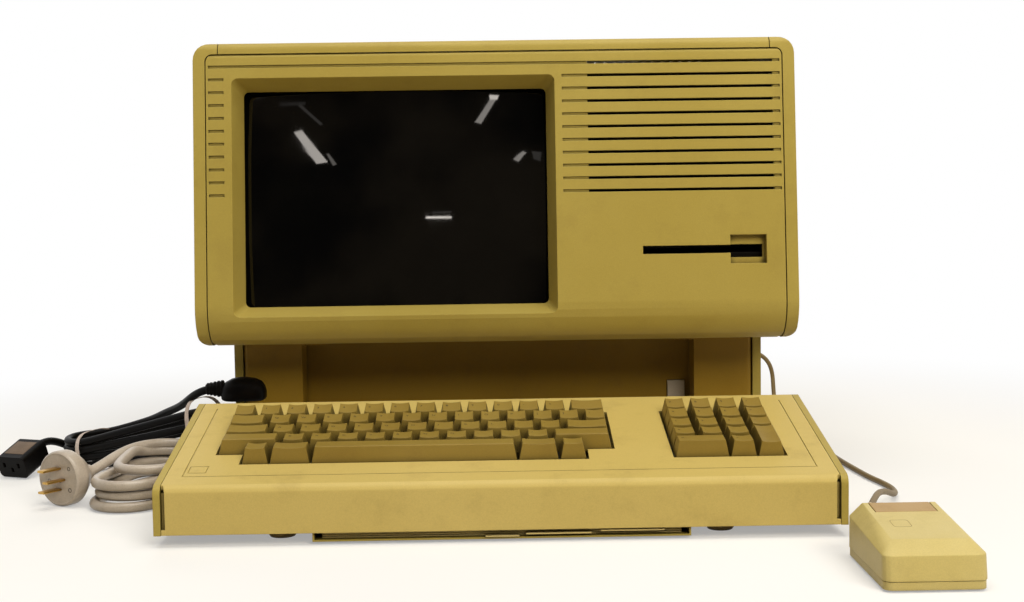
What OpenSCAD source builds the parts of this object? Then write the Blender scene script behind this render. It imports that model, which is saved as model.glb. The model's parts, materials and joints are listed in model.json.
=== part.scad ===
// One-piece desktop computer on a pedestal, with its separate keyboard and mouse.
// The unit stands at the back, the keyboard in front of it and the mouse at the right.
// Millimetres, +Z up, +Y towards the back.

/* [Main unit] */
// Width of the head over its side shells
unit_w = 470; // [456:1:486]
// Depth from the front of the head to the rear knobs
unit_d = 386; // [380:1:400]
// Height of the top cover above the desk
unit_h = 349.5; // [347:0.5:360]
// Height of the underside of the head
head_z = 112; // [109:1:114]
// Backward lean of the front panel in degrees
lean = 6.2; // [5:0.1:7]
// How far the head stands out in front of the pedestal
overhang = 81; // [79:1:85]
// Width of the pedestal
pedestal_w = 438; // [436:1:442]
// Thickness of the moulded walls
wall = 3; // [2.6:0.1:3.2]

/* [Front panel] */
// Width of the screen recess at the face of the panel
recess_w = 252; // [248:1:254]
// Height of the screen recess at the face of the panel
recess_h = 187; // [185:1:189]
// Width of the opening over the glass
glass_w = 239; // [234:1:241]
// Height of the opening over the glass
glass_h = 170; // [166:1:172]
// Distance between two louvres
louvre_pitch = 10; // [9.8:0.1:10.2]
// Height of one louvre
louvre_h = 2.2; // [1.8:0.1:2.6]
// Width of the disk slot
disk_w = 94.6; // [93:0.1:95]
// Height of the disk slot
disk_h = 6.4; // [6:0.1:7]

/* [Keyboard] */
// Width of the keyboard over its cheeks
keyboard_w = 461; // [455:1:465]
// Slope of the keyboard in degrees
slope = 10.5; // [9.5:0.1:11]
// Distance between two keys of standard width
key_pitch = 19.05; // [18.95:0.01:19.1]
// Gap between the main keys and the keypad
keypad_gap = 41.5; // [40:0.1:43]
// Travel of a key
key_travel = 3.5; // [3:0.1:3.6]

/* [Mouse] */
// Width of the mouse
mouse_w = 61; // [58:1:64]
// Length of the mouse
mouse_l = 92; // [90:1:98]
// Turn of the mouse on the desk in degrees
mouse_turn = 0; // [-4:1:4]
// Diameter of the ball
ball_d = 25; // [24:0.1:25.4]

/* [Leads] */
// Diameter of the mouse lead
mouse_lead_d = 4.4; // [4:0.1:5]
// Diameter of the grey mains lead
grey_lead_d = 7.8; // [7.4:0.1:8.2]
// Diameter of the black mains lead
black_lead_d = 6.6; // [6.2:0.1:7.4]

/* [Hidden] */
$fn = 48;

// Colours of the mouldings and the parts in them
case_tone = "#c3a968";
deck_tone = "#d6bf85";
key_tone = "#a58d58";
mouse_tone = "#dcc890";
steel_tone = "#a9abad";
black_tone = "#1b1b1c";
grey_tone = "#a9a199";

// Clearance between two pieces that only meet, and a cutter's overshoot
seam = 0.3;
over = 1;

// Planes of the main unit
front_y = -unit_d / 2;
rear_y = unit_d / 2 - 6;
side_x = unit_w / 2;
panel_x = side_x - 10;
cover_x = side_x - 19;
reveal = 0.8;
panel_r = 6;
column_x = pedestal_w / 2;
column_y = front_y + overhang;
column_edge = 7;
roll_r = 30;
lean_z = head_z + roll_r;
panel_top = unit_h - 8.8;
head_r = 13;
foot_h = 8;
pan_z = foot_h + 2.5;
shelf_z = head_z + 3;
rear_split = 95;

// Screen, louvres and disk slot
screen_x = -79.2;
screen_z = 229;
glass_set = 24;
louvre_z = 331;
louvre_rows = 10;
louvre_left = 52.5;
louvre_open = 72.5;
louvre_end = panel_x - 1.8;
louvre_stop = louvre_end - 5.5;
louvre_cut = 1.2;
baffle_set = 12;
disk_x = 113.8;
disk_z = 184.1;
thumb_w = 28.4;
thumb_h = 22.4;
thumb_cut = 8;
drive_y = front_y + 19;
tab_x = 150;
tab_y = front_y + 53;
drive_w = 102;
drive_h = 41;
drive_l = 150;

// Picture tube, measured along its own axis
tube_w = 248;
tube_h = 181;
tube_skirt = 24;
tube_cone = 120;
tube_neck = 100;
neck_d = 29;
face_r = 1000;

// Rear of the main unit
knob_x = 190;
knob_z = panel_top - 22.7;
knob_shaft = 8;
inlet_x = -150;
inlet_z = 50;
port_z = 50;
mouse_port_x = 110;
reset_x = 62;
reset_z = 78;

// Soft power button in the pedestal
power_x = 151.5;
power_z = 60.5;
power_size = 14.6;
column_set = 32;

// Keyboard: its deck passes through the front left corner of the key field
keys_x = -197.5;
keys_y = front_y - 145.6;
keys_z = 48.2;
keyboard_x = keyboard_w / 2;
cheek = 4.8;
cheek_groove = 2.6;
deck_x = keyboard_x - cheek - seam;
keyboard_front = keys_y - 40.5;
keyboard_back = keys_y + 135.6;
keyboard_z = 8;
cap_margin = 1.2;
cap_gap = 0.9;
cap_rise = 8.6;
cap_drop = 2.5;
stem = 6.4;
switch_size = 14;
switch_floor = 15;
pad_x = 14.5 * key_pitch + keypad_gap;
jack_r = 3.25;
jack_z = 24;
rows = [
    [0, [1, 1, 1, 1, 1, 1, 1, 1, 1, 1, 1, 1, 1, 1.5]],
    [0, [1.5, 1, 1, 1, 1, 1, 1, 1, 1, 1, 1, 1, 1, 1]],
    [0, [1.75, 1, 1, 1, 1, 1, 1, 1, 1, 1, 1, 1, 1.75]],
    [0, [2.25, 1, 1, 1, 1, 1, 1, 1, 1, 1, 1, 2.25]],
    [1, [1, 1.5, 7.5, 1.5, 1]]
];
row_tip = [7, 4, 0, -3, -5];
row_lift = [1.2, 0.5, 0, 0.2, 0.6];

// Card tray and its three pull-out cards
tray_x = 126;
tray_l = 118;
card_w = 240;
card_l = 106;
card_t = 1;
card_step = 1.35;
tab_l = 5;
tabs = [[-11, 22.6], [16, 43.6], [65.6, 42.4]];

// Mouse
mouse_x = 248.5;
mouse_y = front_y - 281.5;
mouse_h = 34.7;
mouse_seam = 6.3;
mouse_skin = 2;
mouse_corner = 6;
palm_z = 20.9;
palm_crease = [15, 28];
far_z = 26;
mouse_facet = 7.7;
mouse_lead_x = -12;
button_w = 38;
button_y = 20;
button_z = 25.4;
roller_r = 2.5;
roller_gap = 0.15;

// Box of the set, without its leads, that the origin is centred under
mouse_side = mouse_w / 2 * cos(mouse_turn) + mouse_l / 2 * sin(abs(mouse_turn));
mouse_near = mouse_l / 2 * cos(mouse_turn) + mouse_w / 2 * sin(abs(mouse_turn));
set_x = (mouse_x + mouse_side - side_x) / 2;
set_y = (unit_d / 2 + mouse_y - mouse_near) / 2;

// Leads: points of each route, chosen by hand, in the unit's own place
mouse_route = [[236.5, -424.5, 15], [237.5, -408, 16.5], [243, -385, 19.5], [252, -360, 20.5],
    [263, -330, 19], [276, -300, 13.5], [288, -272, 6], [295.5, -250, 2.6], [297, -232, 2.4],
    [295, -212, 2.4], [290, -180, 2.4], [284, -104, 2.4], [283, -30, 2.4], [284, 50, 2.4],
    [284, 125, 2.4], [283, 168, 5], [284, 187, 18], [286, 192, 31], [284, 194, 45],
    [276, 199, 57], [262, 205, 60], [236, 214, 60], [200, 226, 57], [160, 238, 54], [128, 244, 50],
    [114, 240, 50], [110, 232, 50], [110, 225, 50]];
grey_start = [[-316, -213.5, 21], [-312, -207, 20.5], [-306, -200.5, 18.5], [-298, -194, 16],
    [-288, -189, 15]];
grey_route = [[-252, -168, 5], [-245, -157, 4.2], [-241, -144, 4.2], [-241, -128, 4.2],
    [-243, -105, 4.2], [-248, -60, 4.2], [-252, 0, 4.2], [-253, 70, 4.2], [-252, 130, 4.2],
    [-250, 190, 4.2], [-240, 228, 4.4], [-210, 252, 10], [-176, 260, 28], [-155, 254, 45],
    [-150, 238, 50]];
black_start = [[-389.3, -94.5, 22.7], [-387.8, -90.8, 24], [-384, -82, 25.5], [-376, -73, 25.5],
    [-366, -68.5, 23], [-358, -70, 19]];
black_link = [[-268, -118, 50], [-262, -123, 55.5], [-254, -129, 64], [-246, -137, 71.5],
    [-239, -144.5, 75], [-233, -148, 75.3]];
grey_near = [-277, -242];
grey_far = [-263, -180];
grey_hank_r = 28;
grey_hank_h = 38;
black_near = [-345, -88, 0.2];
black_near_h = 25.8;
black_far = [-228, -135, 14];
black_far_h = 51.5;
black_hank_r = 24;

// Length of a plan vector, and a point part of the way round a smooth route
function flat(v) = sqrt(v[0] * v[0] + v[1] * v[1]);
function spline(a, b, c, d, t) = 0.5 * (2 * b + (c - a) * t + (2 * a - 5 * b + 4 * c - d) * t * t
    + (3 * b - a - 3 * c + d) * t * t * t);
function held(p, i) = p[min(max(i, 0), len(p) - 1)];
function smooth(p, n) = [for (i = [0 : len(p) - 2], k = [0 : n - 1])
    spline(held(p, i - 1), p[i], p[i + 1], held(p, i + 2), k / n), p[len(p) - 1]];
function unit(v) = v / norm(v);
function heading(p, i) = unit(held(p, i + 1) - held(p, i - 1));

// Points of an arc in the plane
function arc(c, r, a, b, n) = [for (i = [0 : n])
    let (t = a + (b - a) * i / n) c + r * [cos(t), sin(t)]];

// The front line of the head at a height
function face_y(z) = front_y + (z - lean_z) * tan(lean);

// Sum of the first n widths
function reach(w, n) = n == 0 ? 0 : w[n - 1] + reach(w, n - 1);

// Where things stand: the set is centred on its own box
module desk() translate([-set_x, -set_y, 0]) children();
module on_panel() desk() translate([0, front_y, lean_z]) rotate([-lean, 0, 0]) children();
module on_deck() desk() translate([keys_x, keys_y, keys_z]) rotate([slope, 0, 0]) children();
module on_mouse() desk() translate([mouse_x, mouse_y, 0]) rotate([0, 0, mouse_turn]) children();
module both() {
    children();
    mirror([1, 0, 0]) children();
}

// A profile in the YZ plane, drawn out along X, and one in the XZ plane, drawn out along Y
module across(x0, x1) translate([x0, 0, 0]) rotate([90, 0, 90]) linear_extrude(x1 - x0) children();
module along(y0, y1) translate([0, y1, 0]) rotate([90, 0, 0]) linear_extrude(y1 - y0) children();

// A box from corner to corner, and a rounded rectangle
module block(a, b) translate(a) cube(b - a);
module rounded(w, h, r) {
    square([w - 2 * r, h], center = true);
    square([w, h - 2 * r], center = true);
    for (x = [-1, 1], y = [-1, 1]) translate([x * (w / 2 - r), y * (h / 2 - r)]) circle(r);
}

// A cord: one closed tube swept along its points
module cord(points, d, sides) {
    n = len(points);
    rings = [for (i = [0 : n - 1])
        let (t = heading(points, i), s = unit(cross(t, [0.13, 0.21, 1])), u = cross(s, t))
        for (k = [0 : sides - 1])
            points[i] + d / 2 * (cos(360 * k / sides) * s + sin(360 * k / sides) * u)];
    skin = [for (i = [0 : n - 2], k = [0 : sides - 1]) let (m = (k + 1) % sides)
        [i * sides + k, i * sides + m, (i + 1) * sides + m, (i + 1) * sides + k]];
    polyhedron(rings, concat([[for (k = [0 : sides - 1]) sides - 1 - k]], skin,
        [[for (k = [0 : sides - 1]) (n - 1) * sides + k]]));
}

// Outline of a hank between its two end centres
module hank_outline(l, r) {
    translate([0, -r]) square([l, 2 * r]);
    circle(r);
    translate([l, 0]) circle(r);
}

// ---- Main unit: outlines ----

// Side outline of the head up to a top height, with a small radius along its top front edge
function head_outline(top, edge, back) = concat(
    arc([front_y + roll_r / cos(lean), lean_z], roll_r, 270, 180 - lean, 8),
    arc([face_y(top - edge) + edge / cos(lean), top - edge], edge, 180 - lean, 90, 4),
    [[back, top], [back, head_z]]);

module side_profile() {
    polygon(head_outline(unit_h, 6, rear_y));
    translate([column_y, pan_z + seam]) square([rear_y - column_y, head_z - pan_z]);
}

// Cross-section of the left shell: rolled top and bottom edges, then the pedestal wall set in below
top_roll = [-side_x + head_r, unit_h - head_r];
low_roll = [-side_x + 9, head_z + 9];
module shell_section() polygon(concat(
    [[-cover_x, unit_h]], arc(top_roll, head_r, 90, 180, 6), arc(low_roll, 9, 180, 270, 5),
    [[-column_x, head_z], [-column_x, pan_z + seam], [-column_x + wall, pan_z + seam],
        [-column_x + wall, head_z + wall]],
    arc(low_roll, 9 - wall, 270, 180, 5), arc(top_roll, head_r - wall, 180, 90, 6),
    [[-cover_x, unit_h - wall]]));
module shell_fill(foot) {
    polygon(concat([[-cover_x, unit_h]], arc(top_roll, head_r, 90, 180, 6),
        arc(low_roll, 9, 180, 270, 5), [[-cover_x, head_z]]));
    translate([-column_x, pan_z + seam]) square([foot, head_z - pan_z]);
}

// ---- Main unit: housing ----

// Outline of the front panel in the XZ plane, grown by a margin
module panel_face(grow) translate([0, (panel_top + head_z) / 2])
    rounded(2 * (panel_x + grow), panel_top - head_z + 2 * min(grow, seam), panel_r);

module case_side() {
    lip = 8;
    difference() {
        union() {
            intersection() {
                along(front_y - over, rear_y) shell_section();
                across(-side_x - over, 0) side_profile();
            }
            intersection() {
                along(front_y - over, column_y + lip) shell_fill(column_edge);
                across(-side_x - over, 0) difference() {
                    side_profile();
                    translate([lip, 0]) side_profile();
                }
            }
            along(rear_y - wall, rear_y) shell_fill(wall);
        }
        along(front_y - over, column_y - 0.01) intersection() {
            union() {
                panel_face(reveal);
                translate([0, (panel_top + head_z) / 2 - panel_r])
                    square([2 * (panel_x + reveal), panel_top - head_z], center = true);
            }
            translate([-side_x, head_z - 0.01]) square([side_x, panel_top + seam - head_z + 0.01]);
        }
    }
}
module case_left() color(case_tone) desk() case_side();
module case_right() color(case_tone) desk() mirror([1, 0, 0]) case_side();

// Top cover: a rolled front edge and two fields of vents over the warm boards
module top_cover() {
    low = panel_top + seam;
    edge = 6;
    vents = 20;
    color(case_tone) desk() difference() {
        across(-cover_x + 2 * seam, cover_x - 2 * seam) polygon(concat(
            [[face_y(low), low]],
            arc([face_y(unit_h - edge) + edge / cos(lean), unit_h - edge], edge, 180 - lean, 90, 4),
            [[rear_y, unit_h], [rear_y, low], [rear_y - wall, low], [rear_y - wall, unit_h - wall],
                [face_y(low) + wall, unit_h - wall], [face_y(low) + wall, low]]));
        for (i = [0 : vents - 1], y = [30, 100])
            both() block([24 + i * 8.6, y, unit_h - wall - over], [27 + i * 8.6, y + 56, unit_h + over]);
        block([-cover_x, front_y + 60, unit_h - 0.6], [cover_x, front_y + 61.2, unit_h + over]);
    }
}

// Base pan: a folded steel tray under the pedestal
module base_pan() {
    pan_x = column_x - wall - 0.4;
    turn = 1.5;
    color(steel_tone) desk() difference() {
        union() {
            block([-pan_x, column_y, foot_h], [pan_x, rear_y - wall - seam, pan_z]);
            both() block([pan_x - turn, column_y + 12, pan_z - 0.1], [pan_x, rear_y - 12, pan_z + 9]);
        }
        for (x = [-150 : 30 : 150], y = [-60, -42])
            block([x - 10, y, foot_h - over], [x + 10, y + 4, pan_z + over]);
    }
}
module base_feet() color(black_tone) desk()
    for (x = [-190, 190], y = [-88, 160]) translate([x, y, 0]) {
        cylinder(h = 2, r1 = 9.5, r2 = 11);
        translate([0, 0, 2]) cylinder(h = foot_h - 2, r = 11);
    }

// Front panel: screen recess, louvres, disk slot and the rolled bottom edge, in one moulding
function on_lean(z) = (z - lean_z) / cos(lean);
module leaned() translate([0, front_y, lean_z]) rotate([-lean, 0, 0]) children();
module slab(w, h, r, y, t) translate([0, y + t, 0]) rotate([90, 0, 0]) linear_extrude(t) rounded(w, h, r);
module funnel(grow, y0, y1) hull($fn = 32) {
    slab(recess_w + 2 * grow, recess_h + 2 * grow, 5, y0, 0.5);
    translate([0, 0, 1]) slab(glass_w + 2 * grow, glass_h + 2 * grow, 4, y1, 0.5);
}
module louvres() for (i = [0 : louvre_rows]) translate([0, 0, on_lean(louvre_z - i * louvre_pitch)]) {
    block([i == 0 ? -louvre_end : louvre_left, -over, -louvre_h / 2], [louvre_end, louvre_cut, louvre_h / 2]);
    block([louvre_open, -over, -louvre_h / 2], [louvre_stop, wall + over, louvre_h / 2]);
    if (i > 0) block([-louvre_end, -over, -louvre_h / 2], [-louvre_end + 12, louvre_cut, louvre_h / 2]);
}
module panel_shell() intersection() {
    difference() {
        across(-panel_x, panel_x) polygon(concat(
            arc([front_y + roll_r / cos(lean), lean_z], roll_r, 270, 180 - lean, 8),
            arc([face_y(panel_top - 3) + 3 / cos(lean), panel_top - 3], 3, 180 - lean, 90, 3),
            [[front_y + 48, panel_top], [front_y + 48, head_z + 40], [column_y - seam, head_z + 30],
                [column_y - seam, head_z]]));
        across(-panel_x + wall, panel_x - wall) polygon(concat(
            arc([front_y + roll_r / cos(lean), lean_z], roll_r - wall, 270, 180 - lean, 8),
            [[face_y(panel_top - wall) + wall, panel_top - wall], [0, panel_top - wall],
                [0, head_z + wall]]));
    }
    along(front_y - over, 0) panel_face(0);
}
module front_panel() {
    thumb_x = disk_x + disk_w - thumb_w + 2.1;
    thumb_z = disk_z - thumb_h / 2;
    tab = [24.6, 11.6];
    color(case_tone) desk() difference() {
        union() {
            panel_shell();
            leaned() translate([screen_x, 0, on_lean(screen_z)]) funnel(wall, wall - 0.5, glass_set - 0.5);
            leaned() block([thumb_x - 2, wall - 0.5, on_lean(thumb_z) - 2],
                [thumb_x + thumb_w + 2, thumb_cut + 2, on_lean(thumb_z) + thumb_h + 2]);
        }
        leaned() translate([screen_x, 0, on_lean(screen_z)]) funnel(0, -0.4, glass_set + over);
        leaned() louvres();
        block([disk_x, front_y - over, disk_z - disk_h / 2], [disk_x + disk_w, drive_y, disk_z + disk_h / 2]);
        leaned() block([thumb_x, -over, on_lean(thumb_z)],
            [thumb_x + thumb_w, thumb_cut, on_lean(thumb_z) + thumb_h]);
        block([thumb_x + 0.4, front_y, disk_z - 7], [disk_x + disk_w, drive_y, disk_z]);
        both() translate([tab_x - tab[0] / 2, tab_y - tab[1] / 2, head_z - over])
            cube([tab[0], tab[1], wall + 2 * over]);
    }
}

// Finger tabs that free the front panel: pressed up through its underside
module panel_tab() translate([tab_x, tab_y, 0]) {
    block([-11, -4.5, head_z - 2.5], [11, 4.5, head_z + wall + 3]);
    block([-15, -7, head_z + wall], [15, 7, head_z + wall + 3]);
    for (x = [-6, -2, 2, 6]) block([x - 0.6, -4.5, head_z - 3.1], [x + 0.6, 4.5, head_z - 2.4]);
}
module panel_tab_left() color(case_tone) desk() mirror([1, 0, 0]) panel_tab();
module panel_tab_right() color(case_tone) desk() panel_tab();

// Rear panel, held at its foot and by two quarter-turn knobs at the top
module rear_panel() {
    wide = column_x - wall - 0.4;
    low = rear_split + 1;
    rise = 10;
    color(case_tone) desk() difference() {
        union() {
            block([-wide, rear_y - wall, low], [wide, rear_y, panel_top]);
            both() block([wide - wall, rear_y - 12, low + 30], [wide, rear_y - wall + 0.1, panel_top - 40]);
            for (z = [low + 60, low + 120]) block([-150, rear_y - 7, z], [150, rear_y - wall + 0.1, z + 2]);
        }
        for (i = [0 : 8]) both() block([22, rear_y - 20, panel_top - 26 - i * rise],
            [150, rear_y + over, panel_top - 22 - i * rise]);
        both() translate([knob_x, rear_y + over, knob_z]) rotate([90, 0, 0])
            cylinder(h = wall + 2 * over, r = knob_shaft / 2 + 0.05);
    }
}
module rear_knob() translate([knob_x, rear_y, knob_z]) rotate([-90, 0, 0]) difference() {
    union() {
        cylinder(h = 4, r = 9);
        translate([0, 0, 4]) cylinder(h = 2, r1 = 9, r2 = 7.5);
        translate([0, 0, -8]) cylinder(h = 8.1, r = knob_shaft / 2);
        translate([-3, -7, -8]) cube([6, 14, 2.5]);
    }
    translate([-9, -1.1, 4]) cube([18, 2.2, 3]);
}
module rear_knob_left() color(black_tone) desk() mirror([1, 0, 0]) rear_knob();
module rear_knob_right() color(black_tone) desk() rear_knob();

// Port panel: connectors, expansion covers and the hole of the reset button
module d_port(x, w) translate([x, rear_y, port_z]) {
    block([-w / 2 - 7, -0.1, -6.2], [w / 2 + 7, 1, 6.2]);
    difference() {
        translate([0, 6.5, 0]) rotate([90, 0, 0]) linear_extrude(5.6) rounded(w, 8.6, 2.4);
        translate([0, 7, 0]) rotate([90, 0, 0]) linear_extrude(5) rounded(w - 1.4, 7.2, 1.8);
    }
    for (s = [-1, 1]) translate([s * (w / 2 + 4), 0, 0]) rotate([-90, 0, 0])
        cylinder(h = 4.5, r = 2.2, $fn = 6);
}
module port_panel() {
    wide = column_x - wall - 0.4;
    color(steel_tone) desk() difference() {
        union() {
            block([-wide, rear_y - wall, pan_z + seam], [wide, rear_y, rear_split]);
            d_port(mouse_port_x, 17);
            for (x = [-40, 34]) d_port(x, 39);
            for (i = [0 : 2]) block([-80 + i * 42, rear_y - 0.1, 66], [-46 + i * 42, rear_y + 1.4, 90]);
            translate([165, rear_y - 0.1, port_z]) rotate([-90, 0, 0]) cylinder(h = 8, r = 4.2);
        }
        block([inlet_x - 14.8, rear_y - 5, inlet_z - 10.8], [inlet_x + 14.8, rear_y + over, inlet_z + 10.8]);
        translate([reset_x, rear_y + over, reset_z]) rotate([90, 0, 0])
            cylinder(h = wall + 2 * over, r = 4.3);
        translate([165, rear_y + 9, port_z]) rotate([90, 0, 0]) cylinder(h = 7, r = 2.4);
    }
}
module reset_button() color("#7a2f24") desk() translate([reset_x, rear_y, reset_z]) rotate([-90, 0, 0]) {
    translate([0, 0, -4]) cylinder(h = 7, r = 4);
    translate([0, 0, -5.5]) cylinder(h = 2.2, r = 6);
}

// Mains inlet with its three blades
module mains_inlet() color(black_tone) desk() translate([inlet_x, rear_y, inlet_z]) {
    difference() {
        union() {
            block([-25, 0, -13.8], [25, 2, 13.8]);
            block([-14.5, -18, -10.5], [14.5, 0.1, 10.5]);
        }
        block([-12.6, -16, -8.6], [12.6, 3, 8.6]);
    }
    for (b = [[-7, -2], [7, -2], [0, 2.4]])
        block([b[0] - 1, -16.1, b[1] - 2], [b[0] + 1, -2, b[1] + 2]);
}

// Pedestal front: two lips either side of a panel that is set back
module column_front() {
    out = column_x - column_edge - seam;
    lip_in = 163;
    back = column_y + column_set;
    color(case_tone) desk() difference() {
        union() {
            block([-lip_in - wall, back, pan_z], [lip_in + wall, back + wall, head_z - seam]);
            both() translate([0, 0, pan_z]) linear_extrude(head_z - seam - pan_z)
                polygon(concat([[lip_in, column_y]], arc([out - 4, column_y + 4], 4, -90, 0, 4),
                    [[out, back - 6], [out - wall, back - 6], [out - wall, column_y + wall],
                        [lip_in + wall, column_y + wall], [lip_in + wall, back + 1], [lip_in, back + 1]]));
        }
        translate([power_x, back + wall / 2, power_z])
            cube([power_size + 0.6, 2 * wall, power_size + 0.6], center = true);
    }
}
module power_button() color("#b9b2a6") desk() translate([power_x, column_y + column_set, power_z]) {
    translate([0, 1, 0]) cube([power_size, 7, power_size], center = true);
    translate([0, wall + 1.3, 0]) cube([power_size + 4, 2, power_size + 4], center = true);
    translate([0, wall + 6, 0]) rotate([-90, 0, 0]) translate([0, 0, -5]) cylinder(h = 8, r = 2);
}

// ---- Main unit: inside ----

module picture_tube() {
    front = glass_set - 2.5;
    back = front + tube_skirt;
    color("#15171a") on_panel() translate([screen_x, 0, on_lean(screen_z) + 1]) {
        intersection() {
            slab(tube_w, tube_h, 12, front - over, tube_skirt + over);
            translate([0, front + face_r, 0]) sphere(face_r, $fn = 96);
        }
        hull($fn = 32) {
            slab(tube_w - 2, tube_h - 2, 11, back - 0.5, 0.5);
            translate([0, back + tube_cone, 0]) rotate([90, 0, 0]) cylinder(h = 1, r = 23);
        }
        translate([0, back + tube_cone + tube_neck, 0]) rotate([90, 0, 0])
            cylinder(h = tube_neck + 1, r = neck_d / 2);
        translate([0, back + tube_cone + tube_neck + 10, 0]) rotate([90, 0, 0])
            cylinder(h = 11, r = neck_d / 2 - 3);
    }
}
module deflection_yoke() {
    start = glass_set - 2.5 + tube_skirt + tube_cone + seam;
    grip = neck_d / 2 + 0.2;
    color("#8a4a24") on_panel() translate([screen_x, start, on_lean(screen_z) + 1]) rotate([-90, 0, 0])
        rotate_extrude()
            polygon([[grip, 0], [38, 0], [39, 6], [34, 26], [27, 34], [20, 36], [20, 44], [grip, 44]]);
}
module tube_bracket() {
    plate = glass_set + 15;
    plate_h = min(tube_h + 22, 2 * (panel_top - wall - 4 - screen_z));
    foot_top = screen_z - plate_h / 2 + 5;
    color(steel_tone) {
        on_panel() translate([screen_x, 0, on_lean(screen_z) + 1]) difference() {
            slab(tube_w + 24, plate_h, 14, plate, 3);
            slab(tube_w + 0.5, tube_h + 0.5, 12.2, plate - over, 3 + 2 * over);
            for (x = [-1, 1], z = [-1, 1])
                translate([x * (tube_w / 2 + 5), plate - over, z * (tube_h / 2 + 4)])
                    rotate([-90, 0, 0]) cylinder(h = 3 + 2 * over, r = 2.2);
        }
        desk() for (x = [screen_x - 118, screen_x + 118]) {
            block([x - 8, front_y + 35, shelf_z + 3], [x + 8, column_y + 24, shelf_z + 7]);
            block([x - 8, column_y + 10, shelf_z], [x + 8, column_y + 24, shelf_z + 3.1]);
            block([x - 8, front_y + 35, shelf_z + 6.9], [x + 8, front_y + 42, foot_top]);
        }
    }
}

// Disk drive on its bracket, with the cavity that the disk slides into
module disk_drive() {
    x0 = disk_x + disk_w / 2 - drive_w / 2;
    z0 = disk_z - drive_h / 2;
    color(steel_tone) desk() difference() {
        union() {
            block([x0, drive_y, z0], [x0 + drive_w, drive_y + drive_l, z0 + drive_h]);
            for (x = [x0 - 2, x0 + drive_w])
                block([x, drive_y + 22, shelf_z], [x + 2, drive_y + drive_l - 4, z0 + drive_h]);
            for (x = [x0 - 2, x0 + drive_w - 12])
                block([x, column_y + 10, shelf_z], [x + 14, drive_y + drive_l - 4, shelf_z + 2]);
        }
        block([disk_x, drive_y - over, disk_z - disk_h / 2],
            [disk_x + disk_w, drive_y + 96, disk_z + disk_h / 2]);
        block([x0 + 24, drive_y + 30, z0 + drive_h - 6],
            [x0 + drive_w - 24, drive_y + 110, z0 + drive_h + over]);
        for (y = [60, 100]) translate([x0 - 3, drive_y + y, shelf_z + 28]) rotate([0, 90, 0])
            cylinder(h = drive_w + 6, r = 12);
    }
}
// Loudspeaker on a dark sheet that closes the view through the louvres
module speaker() {
    x = 150;
    top = disk_z + drive_h / 2;
    y = front_y + 30;
    z = 262;
    baffle = [60, 219, 325];
    color("#2b2b2d") desk() {
        difference() {
            block([x - 34, y, top], [x + 34, y + 1.6, z + 34]);
            translate([x, y - over, z]) rotate([-90, 0, 0]) cylinder(h = 4, r = 25);
        }
        block([x - 34, front_y + 18, top], [x + 34, y + 22, top + 1.6]);
        leaned() block([baffle[0], baffle_set, on_lean(top + 2)],
            [baffle[1], baffle_set + 1.5, on_lean(baffle[2])]);
        translate([x, y + 1.5, z]) rotate([-90, 0, 0]) difference() {
            union() {
                cylinder(h = 9, r1 = 28, r2 = 17);
                translate([0, 0, 9]) cylinder(h = 9, r = 17);
            }
            translate([0, 0, -over]) cylinder(h = 8, r1 = 26, r2 = 14);
        }
    }
}
module chassis_shelf() {
    wide = column_x - wall - 0.4;
    color(steel_tone) desk() {
        difference() {
            block([-wide, column_y + 5, shelf_z - 2], [wide, rear_y - wall - 2, shelf_z]);
            for (x = [-180 : 40 : 180], y = [60, 110])
                block([x - 12, y, shelf_z - 3], [x + 12, y + 30, shelf_z + over]);
        }
        for (x = [-208.8, 208.8], y = [column_y + 44, rear_y - 10])
            translate([x, y, pan_z]) cylinder(h = shelf_z - 1 - pan_z, r = 4.6);
    }
}
inside_y = rear_y - 11;
module power_supply() {
    color(steel_tone) desk() difference() {
        block([72, -18, pan_z], [198, inside_y, 101]);
        for (i = [0 : 9]) block([84 + i * 10.6, 20, 99], [88 + i * 10.6, 90, 102]);
        for (i = [0 : 7]) block([71, 0 + i * 18, 30], [73, 10 + i * 18, 84]);
        block([100, inside_y - 2, 40], [170, inside_y + over, 80]);
    }
}
card_slots = 7;
card_gap = 30;
card_x = -186;
module card_cage() {
    t = 1.5;
    color(steel_tone) desk() difference() {
        union() {
            block([-203, -22, pan_z], [45, inside_y, pan_z + t]);
            for (x = [-203, 45 - t]) block([x, -22, pan_z], [x + t, inside_y, 106]);
            block([-203, -22, pan_z], [45, -22 + t, 106]);
            for (i = [0 : card_slots - 1]) for (s = [-2.6, 1.2])
                block([card_x + i * card_gap + s, -22, 90], [card_x + i * card_gap + s + 1.4, -8, 104]);
        }
        for (x = [-185 : 30 : 25]) block([x - 8, -24, 30], [x + 8, -20, 80]);
    }
}
module circuit_boards() {
    board = 1.6;
    base = pan_z + 5;
    color("#3c6b45") desk() {
        block([-199, -16, base], [41, inside_y - 4, base + board]);
        for (x = [-190, 30], y = [-8, inside_y - 14])
            translate([x, y, pan_z + 1.5]) cylinder(h = base - pan_z - 1.4, r = 3);
        for (i = [0 : card_slots - 1]) translate([card_x + i * card_gap, 0, 0]) {
            block([-board / 2, -18, base + board + 3], [board / 2, inside_y - 8, 104]);
            block([-4, 10, base + board - 0.1], [4, 150, base + board + 8]);
            for (y = [0 : 22 : 154], z = [44, 66, 88])
                block([board / 2 - 0.1, y, z], [board / 2 + 3.4, y + 15, z + 7]);
        }
    }
}

// ---- Keyboard ----

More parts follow.
